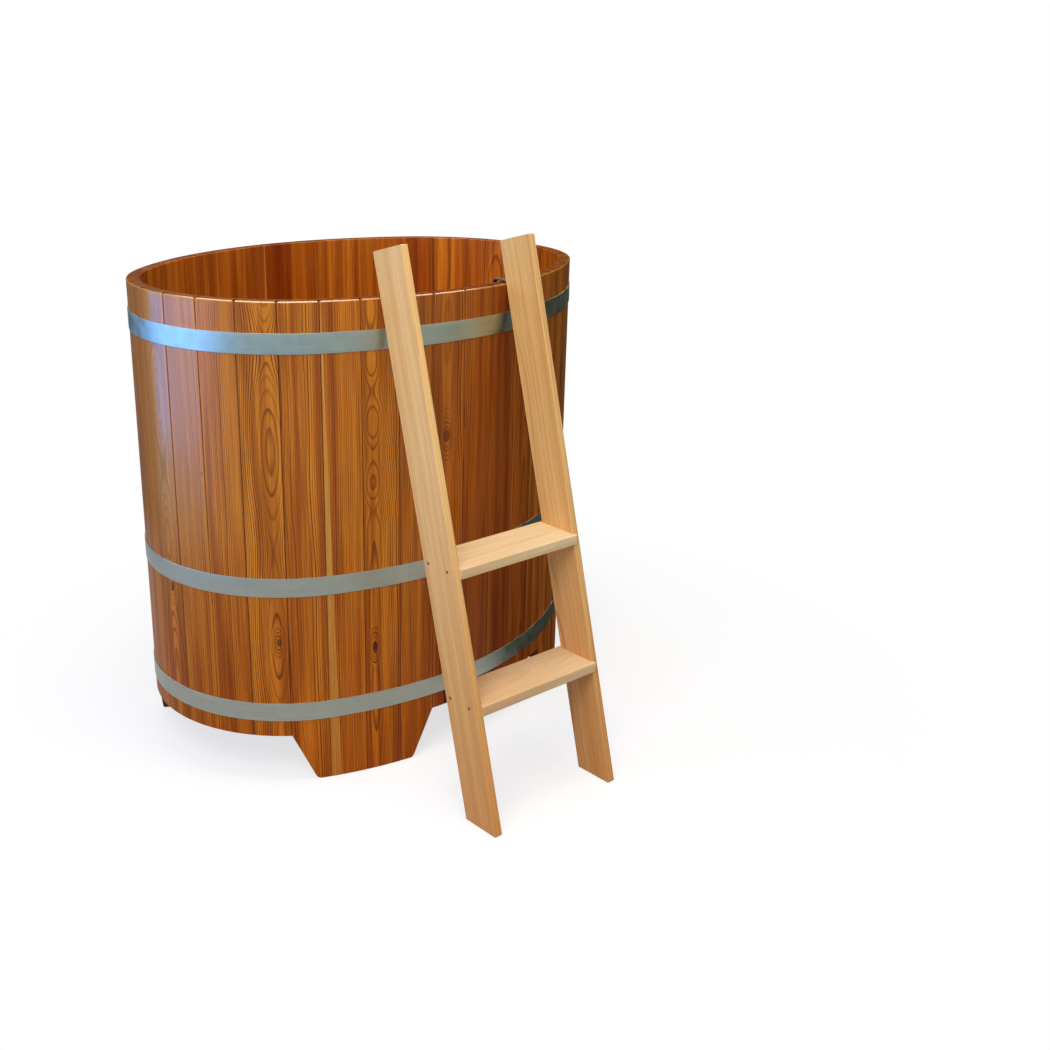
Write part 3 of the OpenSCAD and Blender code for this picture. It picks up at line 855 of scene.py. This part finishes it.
def turned(profile: Sequence[Point], steps: int, frame: Matrix) -> tuple[list[Vector], Faces]:
    """Turns a profile of radius and height about the frame's Z.

    Args:
        profile: Radius and height of each point, from the axis round to the axis.
        steps: Number of steps in the turn.
        frame: Where the turned piece stands.

    Returns:
        Points and faces.
    """
    verts: list[Vector] = []
    faces: Faces = []
    count = len(profile)
    for k, following in ring_pairs(steps):
        turn = math.tau * k / steps
        verts += [frame @ Vector((r * math.cos(turn), r * math.sin(turn), z)) for r, z in profile]
        a, b = k * count, following * count
        faces += [[a + j, b + j, b + j + 1, a + j + 1] for j in range(count - 1)]
    return verts, faces


# ---------------------------------------------------------------------------------------------
# The tub


@dataclass(frozen=True)
class Arc:
    """One of the four arcs of the oval: its centre, radius, first joint's angle and share."""

    centre: Point
    radius: float
    first: float
    half: float
    staves: int
    foot: int

    def joint(self, k: float) -> float:
        """Returns the angle of joint k in radians."""
        return self.first - 2 * self.half * k / self.staves

    def at(self, angle: float, out: float) -> Point:
        """Returns the point at an angle, a distance outside the outline."""
        r = self.radius + out
        return (self.centre[0] + r * math.cos(angle), self.centre[1] + r * math.sin(angle))


@dataclass
class Oval:
    """The plan of the tub: four tangent arcs, about an axis that is taken from the frame."""

    length: float = 1112 * MM
    width: float = 770 * MM
    end_radius: float = 314 * MM
    side_staves: int = 11
    end_staves: int = 8
    side_foot: int = 3
    end_foot: int = 1
    arcs: list[Arc] = field(init=False)

    def __post_init__(self) -> None:
        """Finds the tub's axis from the frame and works out the four arcs."""
        y = (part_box("stave_06")[0].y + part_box("stave_25")[1].y) / 2
        e, h, r = self.length / 2 - self.end_radius, self.width / 2, self.end_radius
        side = (e * e + h * h - r * r) / (2 * (h - r))
        offset = side - h
        half = math.atan2(e, offset)
        long_arc = (half, self.side_staves, self.side_foot)
        end_arc = (QUARTER - half, self.end_staves, self.end_foot)
        self.arcs = [
            Arc((0.0, y + offset), side, -QUARTER + half, *long_arc),
            Arc((-e, y), r, -QUARTER - half, *end_arc),
            Arc((0.0, y - offset), side, -3 * QUARTER + half, *long_arc),
            Arc((e, y), r, -3 * QUARTER - half, *end_arc),
        ]

    def staves(self) -> Iterable[tuple[int, Arc, int]]:
        """Yields each stave's number, its arc and its place on the arc."""
        number = 1
        for arc in self.arcs:
            for k in range(arc.staves):
                yield number, arc, k
                number += 1


# What the photographed staves show: the way each was sawn, its shade, sapwood and knots
SHOWN_STAVES = {
    4: Cut((0.16, 0.06, 0.003), -0.3),
    5: Cut((0.012, 0.052, 0.02), -1.3),
    6: Cut((0.2, 0.09, 0.003), -1.7, sap=-38 * MM),
    7: Cut((-0.09, 0.06, 0.004), -1.2),
    8: Cut((-0.006, 0.04, 0.014), -0.9, knots=[(-7 * MM, 0.71, 8 * MM)]),
    9: Cut((0.11, 0.06, 0.003), -0.2),
    10: Cut(
        (-0.019, 0.024, 0.0),
        0.4,
        knots=[(-19 * MM, 0.283, 6 * MM)],
        bow=(0.76, 0.007, 0.125),
        figure=1.7,
    ),
    11: Cut((0.13, 0.05, 0.004), -0.1, sap=-31 * MM),
    12: Cut((-0.08, 0.07, 0.004), 0.25),
    13: Cut(
        (0.018, 0.026, 0.0),
        0.45,
        knots=[(20 * MM, 0.316, 5 * MM)],
        bow=(0.72, 0.016, 0.404),
        figure=1.6,
    ),
    # Staves 14 to 17 get a painted sheen: paler and glossier faces
    14: Cut((-0.14, 0.05, 0.004), -0.2, sheen=0.15),
    15: Cut((0.1, 0.06, -0.003), 0.05, knots=[(33 * MM, 0.66, 3 * MM)], sheen=0.5),
    16: Cut(
        (0.004, 0.03, 0.006),
        -0.2,
        knots=[(8 * MM, 0.4, 6 * MM)],
        bow=(0.8, 0.01, 0.3),
        sheen=0.8,
        figure=1.3,
    ),
    17: Cut((-0.12, 0.05, 0.003), -0.5, sheen=0.3),
    18: Cut((0.02, 0.05, 0.01), -0.4),
    22: Cut((0.1, 0.05, 0.003), -0.2),
    23: Cut((-0.09, 0.06, 0.003), 0.7),
    24: Cut((0.14, 0.05, 0.004), 0.4),
    25: Cut((-0.1, 0.05, 0.003), 0.2, sap=-30 * MM),
    26: Cut((0.2, 0.06, 0.002), -2.0),
    27: Cut((-0.12, 0.07, 0.002), -0.2),
    28: Cut((0.09, 0.06, 0.004), 1.5),
    29: Cut((0.16, 0.05, 0.003), 0.9),
    30: Cut((-0.1, 0.05, 0.004), -0.2),
    31: Cut((0.11, 0.07, 0.003), -0.6),
    32: Cut((0.012, 0.05, 0.02), 0.9),
    33: Cut((-0.07, 0.05, 0.003), 0.0),
    34: Cut((0.006, 0.06, 0.02), 0.6),
}


def rounded(radius: float, into: float) -> float:
    """Returns the set-back of a rounded edge, at a distance into it."""
    into = min(max(into, 0.0), radius)
    return radius - math.sqrt(max(radius * radius - into * into, 0.0))


@dataclass
class StaveShell:
    """Thirty-eight staves, each one lofted upwards through its own outlines."""

    oval: Oval
    rng: random.Random
    height: float = 1000 * MM
    wall: float = 26 * MM
    foot_height: float = 104 * MM
    foot_taper: float = 50 * MM
    foot_corner: float = 12 * MM
    rim_round: float = 3 * MM
    soft_round: float = 1.5 * MM
    joint_outside: float = 1.4 * MM
    joint_inside: float = 0.8 * MM
    # How much wider a joint's chamfers get at the rim
    rim_notch: float = 1.8 * MM
    joint_gap: float = 0.12 * MM
    # How far the grime and painted shade reach from a joint, and at least how far past its chamfer
    dirt_and_shade_reach: float = 2.2 * MM
    dirt_and_shade_fade: float = 0.8 * MM
    # The groove for the floor
    floor_low: float = 141.9 * MM
    floor_high: float = 170.1 * MM
    groove: float = 7 * MM
    columns: int = 8
    # Heights between which a face's painted sheen fades in
    sheen_reach: Point = (430 * MM, 600 * MM)

    def cut(self, number: int) -> Cut:
        """Returns how stave number was cut."""
        seed = number * 1.37
        if number in SHOWN_STAVES:
            return replace(SHOWN_STAVES[number], seed=seed)
        kind = self.rng.choice([Figure.QUARTER, Figure.RIFT, Figure.RIFT, Figure.FLAT])
        knots = []
        if self.rng.random() < 0.3:
            across, along = self.rng.uniform(-22, 22) * MM, self.rng.uniform(0.25, 0.9)
            knots.append((across, along, self.rng.uniform(4, 8) * MM))
        return kind.cut(self.rng, seed, knots=knots)

    def foot_line(self) -> list[Point]:
        """Returns a foot's slanted side as how far in it stands at each height, from below."""
        lean = math.atan2(self.foot_taper, self.foot_height)
        corner, steps = self.foot_corner, 6
        centre = self.foot_taper + corner / math.tan((QUARTER + lean) / 2)
        points = []
        for step in range(steps + 1):
            turn = 3 * QUARTER - step / steps * (QUARTER - lean)
            points.append((centre + corner * math.cos(turn), corner * (1 + math.sin(turn))))
        return points + [(0.0, self.foot_height)]

    def heights(self, bottom: float) -> list[float]:
        """Returns the heights at which a stave's outline is drawn, from below."""
        step, apart, rim_steps = 0.01 * MM, 0.004 * MM, 5
        marks = {bottom, bottom + self.soft_round, self.height - self.rim_round}
        marks.update(self.sheen_reach)
        marks.update(bottom + self.soft_round * (1 - math.cos(a)) for a in (0.5, 1.0))
        if bottom == 0:
            marks.update(z for _, z in self.foot_line())
        marks.update((self.floor_low, self.floor_low + step))
        marks.update((self.floor_high - step, self.floor_high))
        for k in range(1, rim_steps + 1):
            marks.add(self.height - self.rim_round * (1 - math.sin(k / rim_steps * QUARTER)))
        ordered = sorted(marks)
        return [z for i, z in enumerate(ordered) if i == 0 or z - ordered[i - 1] > apart]

    def insets(self, z: float, bottom: float) -> Point:
        """Returns how far the outer and the inner face stand in at a height."""
        outer = rounded(self.rim_round, z - (self.height - self.rim_round))
        inner = rounded(self.soft_round, z - (self.height - self.soft_round))
        low = rounded(self.soft_round, bottom + self.soft_round - z)
        outer, inner = max(outer, low), max(inner, low)
        if self.floor_low + 0.005 * MM < z < self.floor_high - 0.005 * MM:
            inner = self.groove
        return outer, inner

    def inward(self, line: list[Point], z: float) -> float:
        """Returns how far a stave's side stands in at a height, where a foot's line cuts it."""
        if line and z < self.foot_height:
            for (x0, z0), (x1, z1) in zip(line, line[1:]):
                if z0 <= z <= z1 + 1e-9:
                    return x0 + (x1 - x0) * (z - z0) / max(z1 - z0, 1e-9)
        return 0.0

    def build(self) -> None:
        """Makes every stave."""
        line = self.foot_line()
        for number, arc, k in self.oval.staves():
            on_foot = k < arc.foot or k >= arc.staves - arc.foot
            bottom = 0.0 if on_foot else self.foot_height
            first_line = line if k == arc.staves - arc.foot else []
            last_line = line if k == arc.foot - 1 else []
            self.stave(number, arc, k, bottom, first_line, last_line)

    def stave(
        self,
        number: int,
        arc: Arc,
        k: int,
        bottom: float,
        first_line: list[Point],
        last_line: list[Point],
    ) -> None:
        """Makes one stave.

        Args:
            number: The stave's number.
            arc: The arc that it stands on.
            k: Its place on the arc.
            bottom: The height of its lower end.
            first_line: The slanted side of a foot at its first joint, or nothing.
            last_line: The same at its last joint.
        """
        # Seen from outside, the first joint is on the right and the last one on the left
        right, left = arc.joint(k), arc.joint(k + 1)
        middle = (right + left) / 2
        cut = self.cut(number)
        verts: list[Triple] = []
        places: list[Triple] = []
        wear_and_painted_light: list[Triple] = []
        end_step = 0.001 * MM

        def row(out: float, corner: float, z: float, reverse: bool) -> None:
            """Adds one face's points at a height, from left to right or back."""
            r = arc.radius + out
            lean_left = math.asin((self.inward(last_line, z) + self.joint_gap / 2) / r)
            lean_right = math.asin((self.inward(first_line, z) + self.joint_gap / 2) / r)
            start, end = left + lean_left, right - lean_right
            sink = -corner if out > -self.wall / 2 else corner
            step = corner / r
            reach = max(self.dirt_and_shade_reach, corner + self.dirt_and_shade_fade) / r
            end_grain = 1.0 if z > self.height - end_step or z < bottom + end_step else 0.0
            # A face's painted sheen fades in between two heights
            low, high = self.sheen_reach
            bare = cut.sheen * min(max((z - low) / (high - low), 0.0), 1.0)
            # The rim's rounded edge is rubbed and gets a painted highlight: paler and glossier
            if self.height - self.rim_round < z < self.height - end_step:
                bare = 1.0
            face = (0.0, 0.0 if reverse else bare)
            # Wider chamfers at the rim get more grime and painted shade, which thin out across a
            # chamfer, and a chamfer's edge gets a painted highlight
            dirt = max(corner / self.joint_outside, 1.0) ** 2
            joint, chamfer = (dirt, 0.0), (0.4 * dirt, 0.3)
            span = end - start - 2 * reach
            spots = [(start, sink, joint), (start + step, 0.0, chamfer)]
            spots.append((start + reach, 0.0, face))
            for j in range(1, self.columns):
                spots.append((start + reach + span * (j / self.columns), 0.0, face))
            spots += [(end - reach, 0.0, face), (end - step, 0.0, chamfer), (end, sink, joint)]
            if reverse:
                spots.reverse()
            for angle, sunk, mark in spots:
                x, y = arc.at(angle, out + sunk)
                verts.append((x, y, z))
                places.append(((angle - middle) * arc.radius, -(out + sunk), z))
                wear_and_painted_light.append((*mark, end_grain))

        rows = self.heights(bottom)
        for z in rows:
            outer, inner = self.insets(z, bottom)
            notch = self.rim_notch * max(1 - (self.height - z) / self.rim_round, 0.0)
            row(-outer, self.joint_outside + notch, z, False)
            row(-self.wall + inner, self.joint_inside, z, True)
        # Faces between one outline and the next, and then the two ends
        loop = len(verts) // len(rows)
        faces: Faces = []
        for a in range(0, (len(rows) - 1) * loop, loop):
            b = a + loop
            faces += [[a + j, a + n, b + n, b + j] for j, n in ring_pairs(loop)]
        top = (len(rows) - 1) * loop
        for j in range(loop // 2 - 1):
            m = loop - 1 - j
            faces.append([j + 1, j, m, m - 1])
            faces.append([top + j, top + j + 1, top + m - 1, top + m])
        name = f"stave_{number:02d}"
        piece = make_object("shell_" + name, verts, faces, STAVE_LARCH)
        cut.carry(piece.data, places, wear_and_painted_light)
        place_piece(piece, "tub", name)


@dataclass
class Hoops:
    """Three strips bent round the staves, lapped at the back and riveted."""

    oval: Oval
    rng: random.Random
    width: float = 40 * MM
    thick: float = 1.5 * MM
    clearance: float = 0.1 * MM
    edge: float = 0.7 * MM
    lap: float = 90 * MM
    lap_step: float = 0.3 * MM
    # How far a strip's outer face strays in and out
    wave: float = 0.12 * MM
    middles: tuple[tuple[str, float], ...] = (
        ("hoop_top", 921.5 * MM),
        ("hoop_middle", 434 * MM),
        ("hoop_bottom", 159.5 * MM),
    )
    rivet_radius: float = 5 * MM
    rivet_height: float = 2 * MM
    rivet_sink: float = 0.05 * MM
    # Steps down a rivet's dome and round it
    rivet_steps: tuple[int, int] = (6, 20)
    steps_per_arc: int = 64
    lap_steps: int = 12

    def section(self, seat: float, half: float) -> list[Point]:
        """Returns the strip's closed section as distance outside and height, counterclockwise."""
        out, e = seat + self.thick, self.edge
        low = []
        for turn in (0.0, 0.8, QUARTER):
            low.append((out - (1 - math.sin(turn)) * e, -half + (1 - math.cos(turn)) * e))
        face = [(out, half * t) for t in (-0.6, -0.2, 0.2, 0.6)]
        high = [(x, -z) for x, z in reversed(low)]
        return [(seat, -half)] + low + face + high + [(seat, half)]

    def sweep(
        self,
        section: list[Point],
        stations: list[tuple[Arc, float]],
        middle: float,
        closed: bool,
        wave: float,
    ) -> tuple[list[Vector], Faces]:
        """Sweeps a section along the outline.

        Args:
            section: The closed section.
            stations: The arc and angle of each place along the outline.
            middle: The height of the strip's middle.
            closed: Whether the last station joins the first.
            wave: How far the strip's outer face strays in and out.

        Returns:
            Points and faces.
        """
        seed = self.rng.uniform(0, 100)
        verts: list[Vector] = []
        faces: Faces = []
        size, total = len(section), len(stations)
        seat = min(x for x, _ in section)
        for arc, angle in stations:
            for out, z in section:
                # A long wave, and a short one that also leans
                stray = math.sin(angle * 31 + seed) * 0.5
                stray += math.sin(angle * 77 + z * 90 + seed * 2) * 0.5
                x, y = arc.at(angle, out + wave * (out - seat) / self.thick * stray)
                verts.append(Vector((x, y, middle + z)))
        for i, following in ring_pairs(total)[: total if closed else total - 1]:
            a, b = i * size, following * size
            faces += [[a + j, a + n, b + n, b + j] for j, n in ring_pairs(size)]
        if not closed:
            faces.append(list(range(size)))
            faces.append([(total - 1) * size + j for j in reversed(range(size))])
        return verts, faces

    def rivet(self, middle: float, along: int, up: int) -> tuple[list[Vector], Faces]:
        """Returns a rivet's domed head on a lap.

        Args:
            middle: The height of the strip's middle.
            along: Which half of the lap it is in, -1 or 1.
            up: Whether it stands below the middle, -1, or above it, 1.

        Returns:
            Points and faces.
        """
        back = self.oval.arcs[2]
        angle = QUARTER + along * self.lap / 4 / back.radius
        x, y = back.at(angle, self.clearance + 2 * self.thick - self.rivet_sink)
        frame = Matrix.Translation((x, y, middle + up * self.width / 4))
        frame = frame @ Matrix.Rotation(angle, 4, "Z") @ Matrix.Rotation(QUARTER, 4, "Y")
        down, round_it = self.rivet_steps
        dome = [(0.0, self.rivet_height)]
        for step in range(1, down + 1):
            a = step / down * QUARTER
            dome.append((self.rivet_radius * math.sin(a), self.rivet_height * math.cos(a)))
        return turned(dome + [(0.0, 0.0)], round_it, frame)

    def build(self) -> None:
        """Makes the hoops and their rivets."""
        stations = []
        for arc in self.oval.arcs:
            for step in range(self.steps_per_arc):
                stations.append((arc, arc.first - 2 * arc.half * step / self.steps_per_arc))
        back = self.oval.arcs[2]
        lap_half = self.lap / 2 / back.radius
        lap_places = [1 - 2 * t / self.lap_steps for t in range(self.lap_steps + 1)]
        lap_stations = [(back, QUARTER + lap_half * place) for place in lap_places]
        half = self.width / 2
        strip = self.section(self.clearance, half)
        lap = self.section(self.clearance + self.thick, half - self.lap_step)
        rivet_verts: list[Vector] = []
        rivet_faces: Faces = []
        for name, middle in self.middles:
            verts, faces = self.sweep(strip, stations, middle, True, self.wave)
            add_shape(verts, faces, self.sweep(lap, lap_stations, middle, False, 0.0))
            piece = make_object(name + "_strip", verts, faces, HOOP_STEEL, sharp_degrees=40.0)
            place_piece(piece, "tub", name)
            for along, up in product((-1, 1), repeat=2):
                add_shape(rivet_verts, rivet_faces, self.rivet(middle, along, up))
        piece = make_object("rivet_heads", rivet_verts, rivet_faces, RIVET_STEEL, weld)
        place_piece(piece, "tub", "hoop_rivets")


@dataclass
class Joinery:
    """Flat boards that keep the frame's shape and get the grain of the board they are cut from."""

    rng: random.Random
    ladder_turn: float = math.radians(11.3)
    ladder_lean: float = math.radians(15.0)

    def board(
        self,
        node: str,
        body: str,
        slot: str,
        finish: Timber,
        axes: tuple[Vector, Vector, Vector],
        cut: Cut,
    ) -> None:
        """Copies a frame board and marks the grain and the height above the ground on it.

        Args:
            node: The frame node.
            body: The body that it rides on.
            slot: Its material slot. Not used.
            finish: Its timber.
            axes: Directions across the board, into it and along it.
            cut: How it was sawn.
        """
        mesh = bpy.data.objects[node].data.copy()
        reshape(mesh, simplify)
        normals = mesh.attributes.get("custom_normal")
        if normals:
            mesh.attributes.remove(normals)
        low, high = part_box(node)
        centre = (low + high) / 2
        across, inward, along = axes
        offsets = [v.co - centre for v in mesh.vertices]
        face = max(offset.dot(-inward) for offset in offsets)
        base = min(offset.dot(along) for offset in offsets) - low.z
        places = [(o.dot(across), o.dot(inward) + face, o.dot(along) - base) for o in offsets]
        piece = link_mesh("board_" + node, mesh, finish)
        cut.carry(mesh, places, [(0.0, 0.0, 0.0)] * len(places))
        place_piece(piece, body, node)

    def build(self) -> None:
        """Makes the floor, its battens, and the ladder's stringers and treads."""
        x, y, z = Vector((1, 0, 0)), Vector((0, 1, 0)), Vector((0, 0, 1))
        for number in range(1, 6):
            kind = self.rng.choice([Figure.RIFT, Figure.FLAT])
            shade = self.rng.uniform(-1, 1)
            cut = kind.cut(self.rng, 60 + number * 1.7, shade=shade)
            node = f"floor_board_{number}"
            self.board(node, "tub", "floor_larch", FLOOR_LARCH, (y, -z, x), cut)
        for node, seed in (("batten_left", 71.0), ("batten_right", 72.3)):
            cut = Figure.RIFT.cut(self.rng, seed)
            self.board(node, "tub", "batten_larch", FLOOR_LARCH, (x, z, y), cut)

        turn = Matrix.Rotation(-self.ladder_turn, 3, "Z")
        side, out = turn @ x, turn @ -y
        lean_cos, lean_sin = math.cos(self.ladder_lean), math.sin(self.ladder_lean)
        rise = (lean_cos * z - lean_sin * out).normalized()
        wide = (lean_cos * out + lean_sin * z).normalized()
        stringer, tread = (wide, side, rise), (-out, -z, side)
        for node, axes, cut in (
            ("stringer_left", stringer, Cut((0.09, 0.05, 0.003), 0.2, seed=81.0)),
            ("stringer_right", stringer, Cut((-0.05, 0.05, 0.012), -0.5, seed=83.2)),
            ("tread_lower", tread, Cut((0.01, 0.05, 0.03), -0.4, sap=1.0, seed=86.0)),
            ("tread_upper", tread, Cut((0.01, 0.05, 0.03), -0.4, sap=1.0, seed=88.4)),
        ):
            self.board(node, "ladder", "ladder_spruce", LADDER_SPRUCE, axes, cut)


@dataclass
class FittedSteel:
    """The drain, its plug and the small steel pieces, which keep the frame's own shapes."""

    finishes: tuple[tuple[str, Finish], ...] = (
        ("drain_flange", DRAIN_STEEL),
        ("drain_locknut", DRAIN_STEEL),
        ("drain_gasket", GASKET_RUBBER),
        ("drain_plug", PLUG_RUBBER),
        ("rim_hook", HOOK_STEEL),
        ("ladder_screws", SCREW_STEEL),
        ("batten_screws", SCREW_STEEL),
    )

    def build(self) -> None:
        """Gives each of these nodes its finish."""
        for node, finish in self.finishes:
            mesh = bpy.data.objects[node].data
            mesh.materials.clear()
            mesh.materials.append(finish.build())
            log.info("%s: %s", node, finish.name)


# ---------------------------------------------------------------------------------------------
# Studio


@dataclass(frozen=True)
class Lamp:
    """A rectangular soft lamp: its place, what it points at, its size, power and colour."""

    name: str
    place: Triple
    target: Triple
    size: Point
    watts: float
    colour: str

    def build(self) -> None:
        """Adds the lamp to the scene."""
        data = bpy.data.lights.new(self.name, "AREA")
        data.shape = "RECTANGLE"
        data.size, data.size_y = self.size
        data.energy = self.watts
        data.color = linear(self.colour)[:3]
        turn = (Vector(self.target) - Vector(self.place)).to_track_quat("-Z", "Y").to_matrix()
        add_object(self.name, data).matrix_world = Matrix.Translation(self.place) @ turn.to_4x4()


@dataclass
class Studio:
    """White floor and world, soft lamps, and the camera at the photograph's place."""

    camera_place: Triple = (-2.0997, -1.76781, 1.41418)
    camera_right: Triple = (0.587841, -0.8085, 0.027757)
    camera_up: Triple = (0.256873, 0.219082, 0.941286)
    camera_back: Triple = (-0.767111, -0.546197, 0.336467)
    lens_mm: float = 43.818
    sensor_mm: float = 36.0
    lamps: tuple[Lamp, ...] = (
        Lamp("key", (-2.4, -1.2, 3.0), (0.0, 0.15, 0.55), (2.0, 1.6), 64.0, "FFF8EE"),
        Lamp("sky", (-2.3, 1.5, 0.75), (-0.2, 0.2, 0.6), (2.7, 1.5), 37.0, "62A2FF"),
        Lamp("top", (-0.3, -0.4, 3.4), (0.0, 0.15, 0.55), (0.9, 0.9), 34.0, "FFFFFF"),
    )
    world_strength: float = 0.52
    floor_half: float = 60.0
    # Distances from the middle between which the floor's shadow fades out
    shadow_reach: Point = (0.6, 1.3)
    # Colours of the far ground and the azimuth at which each ends, in degrees
    ground: tuple[tuple[str, int], ...] = (("96B6C8", 250), ("AAAEA6", 275), ("A8AC90", 361))
    # Azimuths between which the cards stand, in degrees
    dark_card: Point = (-58.0, 55.0)
    dim_card: Point = (55.0, 126.0)
    sky_glow: float = 8.0
    # Radius and height of the rings that hold the ground and the cards: the ground from the first
    # to the third, the upright cards from the fourth to the fifth, the sky card at the last two
    rings: tuple[Point, ...] = (
        (0.0, 0.001),
        (2.2, 0.001),
        (9.0, 0.001),
        (1.7, 0.001),
        (1.7, 2.3),
        (1.2, 3.6),
        (2.6, 3.6),
    )
    ring_steps: int = 72

    def camera(self) -> None:
        """Makes the camera."""
        data = bpy.data.cameras.new("camera")
        data.lens = self.lens_mm
        data.sensor_width = self.sensor_mm
        data.sensor_fit = "HORIZONTAL"
        camera = add_object("camera", data)
        turn = Matrix((self.camera_right, self.camera_up, self.camera_back)).transposed()
        camera.matrix_world = Matrix.Translation(self.camera_place) @ turn.to_4x4()
        bpy.context.scene.camera = camera

    def world(self) -> None:
        """Makes an even grey light that the camera and mirrors see as white."""

        def shader(tree: bpy.types.NodeTree) -> Socket:
            """Returns the world's background."""
            add = partial(add_node, tree)
            white = linear("FFFFFF")
            soft = add("Background", {"Color": white, "Strength": self.world_strength})
            full = add("Background", {"Color": white, "Strength": 1.0})
            return add("MixShader", {0: mirrored_or_seen(tree), 1: soft, 2: full})

        world = bpy.data.worlds.new("studio")
        bpy.context.scene.world = world
        set_surface(world, shader)

    def floor(self) -> None:
        """Makes a floor that looks white and keeps a faint shadow."""

        def shader(tree: bpy.types.NodeTree) -> Socket:
            """Returns the floor's shader: pale stone whose far part glows white to the eye."""
            add = partial(add_node, tree)
            place = add("TexCoord", output="Object")
            far = add("VectorMath", {0: place}, "Value", operation="LENGTH")
            near, away = self.shadow_reach
            keep = add("MapRange", {0: far, 1: near, 2: away, 3: 0.3, 4: 0.0})
            pale = add("BsdfDiffuse", {"Color": linear("FFFFFF")})
            glow = add("Emission", {"Color": linear("FFFFFF"), "Strength": 1.0})
            seen = add("MixShader", {0: keep, 1: glow, 2: pale})
            stone = add("BsdfDiffuse", {"Color": linear("B4B4B0")})
            return add("MixShader", {0: mirrored_or_seen(tree), 1: stone, 2: seen})

        half = self.floor_half
        mesh = bpy.data.meshes.new("floor")
        corners = [(-half, -half, 0), (half, -half, 0), (half, half, 0), (-half, half, 0)]
        mesh.from_pydata(corners, [], [(0, 1, 2, 3)])
        material = bpy.data.materials.new("white_floor")
        set_surface(material, shader)
        mesh.materials.append(material)
        floor = add_object("floor", mesh)
        floor.location.z = -0.5 * MM

    def surroundings(self) -> None:
        """Lays ground and cards round the tub and hangs a bright card over it.

        Only the gloss on wood and metal shows them: they stand for the terrace, the shade and the
        open sky that a tub outdoors mirrors.
        """
        near_ground, far_ground, upright, sky = 0, 1, 3, 5
        cards = {"near_ground": ("C9C1BC", 1.0)}
        cards.update((f"far_ground_{end}", (colour, 1.0)) for colour, end in self.ground)
        cards["dark_card"] = ("2E3426", 1.0)
        cards["dim_card"] = ("525E62", 1.0)
        cards["sky_card"] = ("FFE4CC", self.sky_glow)
        verts: list[Triple] = []
        faces: Faces = []
        numbers: list[int] = []
        for step, following in ring_pairs(self.ring_steps):
            turn = math.tau * step / self.ring_steps
            verts += [(r * math.cos(turn), r * math.sin(turn), z) for r, z in self.rings]
            degrees = 360 * (step + 0.5) / self.ring_steps
            dark, dim = (
                (degrees - start) % 360 < end - start
                for start, end in (self.dark_card, self.dim_card)
            )
            ground_end = next(end for _, end in self.ground if degrees < end)
            shown = {near_ground: "near_ground", far_ground: f"far_ground_{ground_end}"}
            shown[sky] = "sky_card"
            if dim:
                shown[upright] = "dim_card"
            if dark:
                shown.update(dict.fromkeys((near_ground, far_ground, upright), "dark_card"))
            here, there = len(self.rings) * step, len(self.rings) * following
            for ring, card in shown.items():
                a, b = here + ring, there + ring
                faces.append([a, b, b + 1, a + 1])
                numbers.append(list(cards).index(card))
        mesh = bpy.data.meshes.new("surroundings")
        mesh.from_pydata(verts, [], faces)
        for name, (colour, strength) in cards.items():
            material = bpy.data.materials.new(name)
            glow = {"Color": linear(colour), "Strength": strength}
            set_surface(material, partial(add_node, kind="Emission", inputs=glow))
            mesh.materials.append(material)
        mesh.polygons.foreach_set("material_index", numbers)
        screen = add_object("surroundings", mesh)
        for sight in ("camera", "diffuse", "shadow", "transmission", "volume_scatter"):
            setattr(screen, "visible_" + sight, False)

    def build(self) -> None:
        """Makes the whole studio."""
        bpy.context.scene.view_settings.view_transform = "Standard"
        self.camera()
        self.world()
        self.floor()
        for lamp in self.lamps:
            lamp.build()
        self.surroundings()


def main() -> None:
    """Builds the tub, the ladder and the studio."""
    logging.basicConfig(level=logging.INFO, format="%(name)s: %(message)s")
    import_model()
    rng = random.Random(20)
    Studio().build()
    oval = Oval()
    for part in (StaveShell(oval, rng), Hoops(oval, rng), Joinery(rng), FittedSteel()):
        part.build()
        log.info("%s done", type(part).__name__)
    bpy.context.view_layer.update()


if __name__ == "__main__":
    main()
